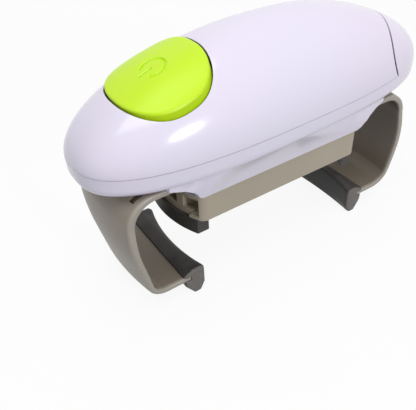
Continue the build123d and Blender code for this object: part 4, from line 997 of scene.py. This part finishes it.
class OPENER_OT_turret(bpy.types.Operator):
    """Lay the skins of the turret, its base, the lid jaws and their rubber pads: copies of the solids, with bevels"""

    bl_idname = "opener.turret"
    bl_label = "Build Turret"

    def execute(self, context):
        turret, pad = context.scene.opener_turret, context.scene.opener_pad
        taupe = finish_of(
            "turret_plastic", turret.colour, (0.455, 0.4, 0.31), drift=20, grain=1500, spread=0.7, rough=(0.32, 0.44),
            bump=0.07, depth=0.00005, dust=0.05,
        )
        rubber = finish_of("lid_pad_rubber", (0.045, 0.042, 0.038), (0.06, 0.056, 0.05), dust=0.08, **RUBBER)
        slight = 0.2 * MM
        eased_copy("turret_housing", "turret", taupe, turret.edge)
        eased_copy("turret_base", "turret", taupe, slight)
        for side in ("left", "right"):
            eased_copy(f"{side}_lid_jaw", f"{side}_lid_grip", taupe, slight)
            eased_copy(f"{side}_lid_pad", f"{side}_lid_grip", rubber, pad.edge * 0.5)
        return {"FINISHED"}


# ---------------- inner parts
INNER = {
    "frame": dict(base=(0.42, 0.43, 0.45), second=(0.5, 0.5, 0.52), rough=(0.4, 0.52), spread=0.6),
    "gear": dict(base=(0.78, 0.75, 0.66), second=(0.7, 0.68, 0.6), rough=(0.34, 0.44), spread=0.7),
    "steel": dict(base=(0.62, 0.62, 0.63), second=(0.5, 0.5, 0.52), rough=(0.2, 0.36), metallic=1.0, stretch=(1, 1, 5)),
    "motor": dict(base=(0.55, 0.56, 0.57), second=(0.46, 0.47, 0.48), rough=(0.24, 0.36), metallic=1.0, grain=700),
    "brass": dict(base=(0.8, 0.62, 0.3), second=(0.62, 0.46, 0.22), rough=(0.22, 0.38), metallic=1.0),
    "dark": dict(base=(0.035, 0.035, 0.037), second=(0.06, 0.058, 0.056), rough=(0.4, 0.5)),
    "board": dict(base=(0.03, 0.16, 0.07), second=(0.02, 0.11, 0.05), rough=(0.3, 0.4), coat=0.3),
    "cell": dict(base=(0.1, 0.16, 0.3), second=(0.07, 0.12, 0.24), rough=(0.24, 0.32), coat=0.4),
    "red_lead": dict(base=(0.45, 0.03, 0.02), second=(0.35, 0.02, 0.02), rough=(0.36, 0.46)),
}
SKIN_FINISHES = {
    "turret": "turret_plastic", "shell": "bowl_plastic", "grip": "lid_pad_rubber", "button": "button_plastic"
}


class OPENER_OT_inner_parts(bpy.types.Operator):
    """Give the gears, motor, cells, board, leads and screws their finishes, and lay the button spring's skin"""

    bl_idname = "opener.inner_parts"
    bl_label = "Finish Inner Parts"

    def execute(self, context):
        finishes = {name: finish_of(f"{name}_finish", **values) for name, values in INNER.items()}
        arm = context.scene.opener_arm
        finishes["arm"] = finish_of("rack_plastic", arm.colour, ARM_SECOND, rough=(0.36, 0.48))
        for slot, name in SKIN_FINISHES.items():
            finishes[slot] = bpy.data.materials[name]
        for part in frame["record"]["subparts"]:
            node = frame["nodes"][part["node"]]
            node.data.materials.clear()
            node.data.materials.append(finishes[part["material_slot"]])
        spring = eased_copy("button_spring", "housing", finishes["steel"], 0.0)
        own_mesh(spring)
        return {"FINISHED"}


# ---------------- stage
LAMPS = (
    ("key", (0.01, -0.78, 0.365), (0.165, 0.08)),
    ("top", (-0.2, -0.15, 0.95), (0.7, 0.7)),
    ("back", (0.3, 0.8, 0.55), (0.6, 0.6)),
)
LAMP_TARGET = Vector((0, 0, 0.07))
FLOOR_REACH = 3.0
GLOW_SHARE = 0.9


def empty_tree(owner):
    owner.use_nodes = True
    owner.node_tree.nodes.clear()
    return owner.node_tree


def rays_that_see_white(tree):
    """A node that gives 1 for rays from the camera and through glossy or clear surfaces, and nothing for the rest."""
    path = add_node(tree, "LightPath")
    return combined(tree, "MAXIMUM", *((path, f"Is {kind} Ray") for kind in ("Camera", "Glossy", "Transmission")))


def mix_shaders(tree, share, output, first, second, end):
    """Mixes two shaders by the share that a node gives out, and ends the tree with them."""
    mix = add_node(tree, "MixShader")
    join(tree, (share, output, mix, 0), (first, 0, mix, 1), (second, 0, mix, 2))
    join(tree, (mix, "Shader", add_node(tree, end), "Surface"))


def floor_finish(stage):
    """A matt floor that glows white where it is seen, and throws back less light than it shows."""
    material = bpy.data.materials.new("floor_finish")
    tree = empty_tree(material)
    matt = add_node(tree, "BsdfDiffuse")
    tone = add_node(tree, "Mix", data_type="RGBA", in_6=(*stage.bounce, 1), in_7=(*stage.floor, 1))
    glow = add_node(tree, "Emission", in_Color=(1, 1, 1, 1), in_Strength=1.0)
    share = add_node(tree, "Math", operation="MULTIPLY", in_1=GLOW_SHARE)
    white = rays_that_see_white(tree)
    join(tree, (white, "Value", tone, 0), (tone, 2, matt, "Color"), (white, "Value", share, 0))
    mix_shaders(tree, share, "Value", matt, glow, "OutputMaterial")
    return material


def set_sky(world, strength):
    """An even light from all round, with white behind the part where it is seen."""
    tree = empty_tree(world)
    sky = add_node(tree, "Background", in_Color=(0.97, 0.98, 1.0, 1), in_Strength=strength)
    white = add_node(tree, "Background", in_Color=(1, 1, 1, 1), in_Strength=1.0)
    mix_shaders(tree, rays_that_see_white(tree), "Value", sky, white, "OutputWorld")


class OPENER_OT_stage(bpy.types.Operator):
    """Set the floor, the lamps, the light all round and the camera"""

    bl_idname = "opener.stage"
    bl_label = "Set Stage"

    def execute(self, context):
        scene = context.scene
        stage = scene.opener_stage
        mesh = bpy.data.meshes.new("floor")
        corners = [(x * FLOOR_REACH, y * FLOOR_REACH, 0) for x, y in ((-1, -1), (1, -1), (1, 1), (-1, 1))]
        mesh.from_pydata(corners, [], [(0, 1, 2, 3)])
        mesh.materials.append(floor_finish(stage))
        floor = add_object("floor", mesh)
        scene.world = bpy.data.worlds.new("sky")
        set_sky(scene.world, stage.sky)
        for name, place, wide in LAMPS:
            light = bpy.data.lights.new(name, "AREA")
            light.shape = "RECTANGLE"
            light.size, light.size_y = wide
            light.energy = getattr(stage, f"{name}_power")
            lamp = add_object(name, light)
            lamp.location = place
            lamp.visible_glossy = name != "back"
            lamp.rotation_euler = (LAMP_TARGET - Vector(place)).to_track_quat("-Z", "Y").to_euler()
        lens = bpy.data.cameras.new("camera")
        lens.lens = stage.lens
        lens.clip_start = 0.01
        camera = add_object("camera", lens)
        camera.location = stage.camera_place
        camera.rotation_euler = stage.camera_turn
        scene.camera = camera
        scene.view_settings.view_transform = "Standard"
        return {"FINISHED"}


# ---------------- add-on
class OPENER_PT_panel(bpy.types.Panel):
    """Sizes, colours and builders of the jar opener"""

    bl_idname = "OPENER_PT_panel"
    bl_label = "Jar Opener"
    bl_space_type = "VIEW_3D"
    bl_region_type = "UI"
    bl_category = "Opener"

    def draw(self, context):
        for label, settings, kind, builders in PANEL_ROWS:
            box = self.layout.box()
            box.label(text=label)
            for name in kind.__annotations__:
                box.prop(getattr(context.scene, settings), name)
            for builder in builders:
                box.operator(builder.bl_idname)


PANEL_ROWS = (
    ("Shells", "opener_shell", OpenerShellSettings, (OPENER_OT_shells, OPENER_OT_lower_shell)),
    ("Button", "opener_button", OpenerButtonSettings, (OPENER_OT_button,)),
    ("Arms", "opener_arm", OpenerArmSettings, (OPENER_OT_arms,)),
    ("Pads", "opener_pad", OpenerPadSettings, (OPENER_OT_jar_pads,)),
    ("Turret", "opener_turret", OpenerTurretSettings, (OPENER_OT_turret, OPENER_OT_inner_parts)),
    ("Stage", "opener_stage", OpenerStageSettings, (OPENER_OT_stage,)),
)
CLASSES = [kind for row in PANEL_ROWS for kind in (row[2], *row[3])] + [OPENER_PT_panel]


def register():
    for kind in CLASSES:
        bpy.utils.register_class(kind)
    for row in PANEL_ROWS:
        setattr(bpy.types.Scene, row[1], PointerProperty(type=row[2]))


def unregister():
    for row in PANEL_ROWS:
        delattr(bpy.types.Scene, row[1])
    for kind in reversed(CLASSES):
        bpy.utils.unregister_class(kind)


def main():
    register()
    bpy.ops.opener.shells()
    bpy.ops.opener.button()
    bpy.ops.opener.arms()
    bpy.ops.opener.jar_pads()
    bpy.ops.opener.lower_shell()
    bpy.ops.opener.turret()
    bpy.ops.opener.inner_parts()
    bpy.ops.opener.stage()


if __name__ == "__main__":
    main()
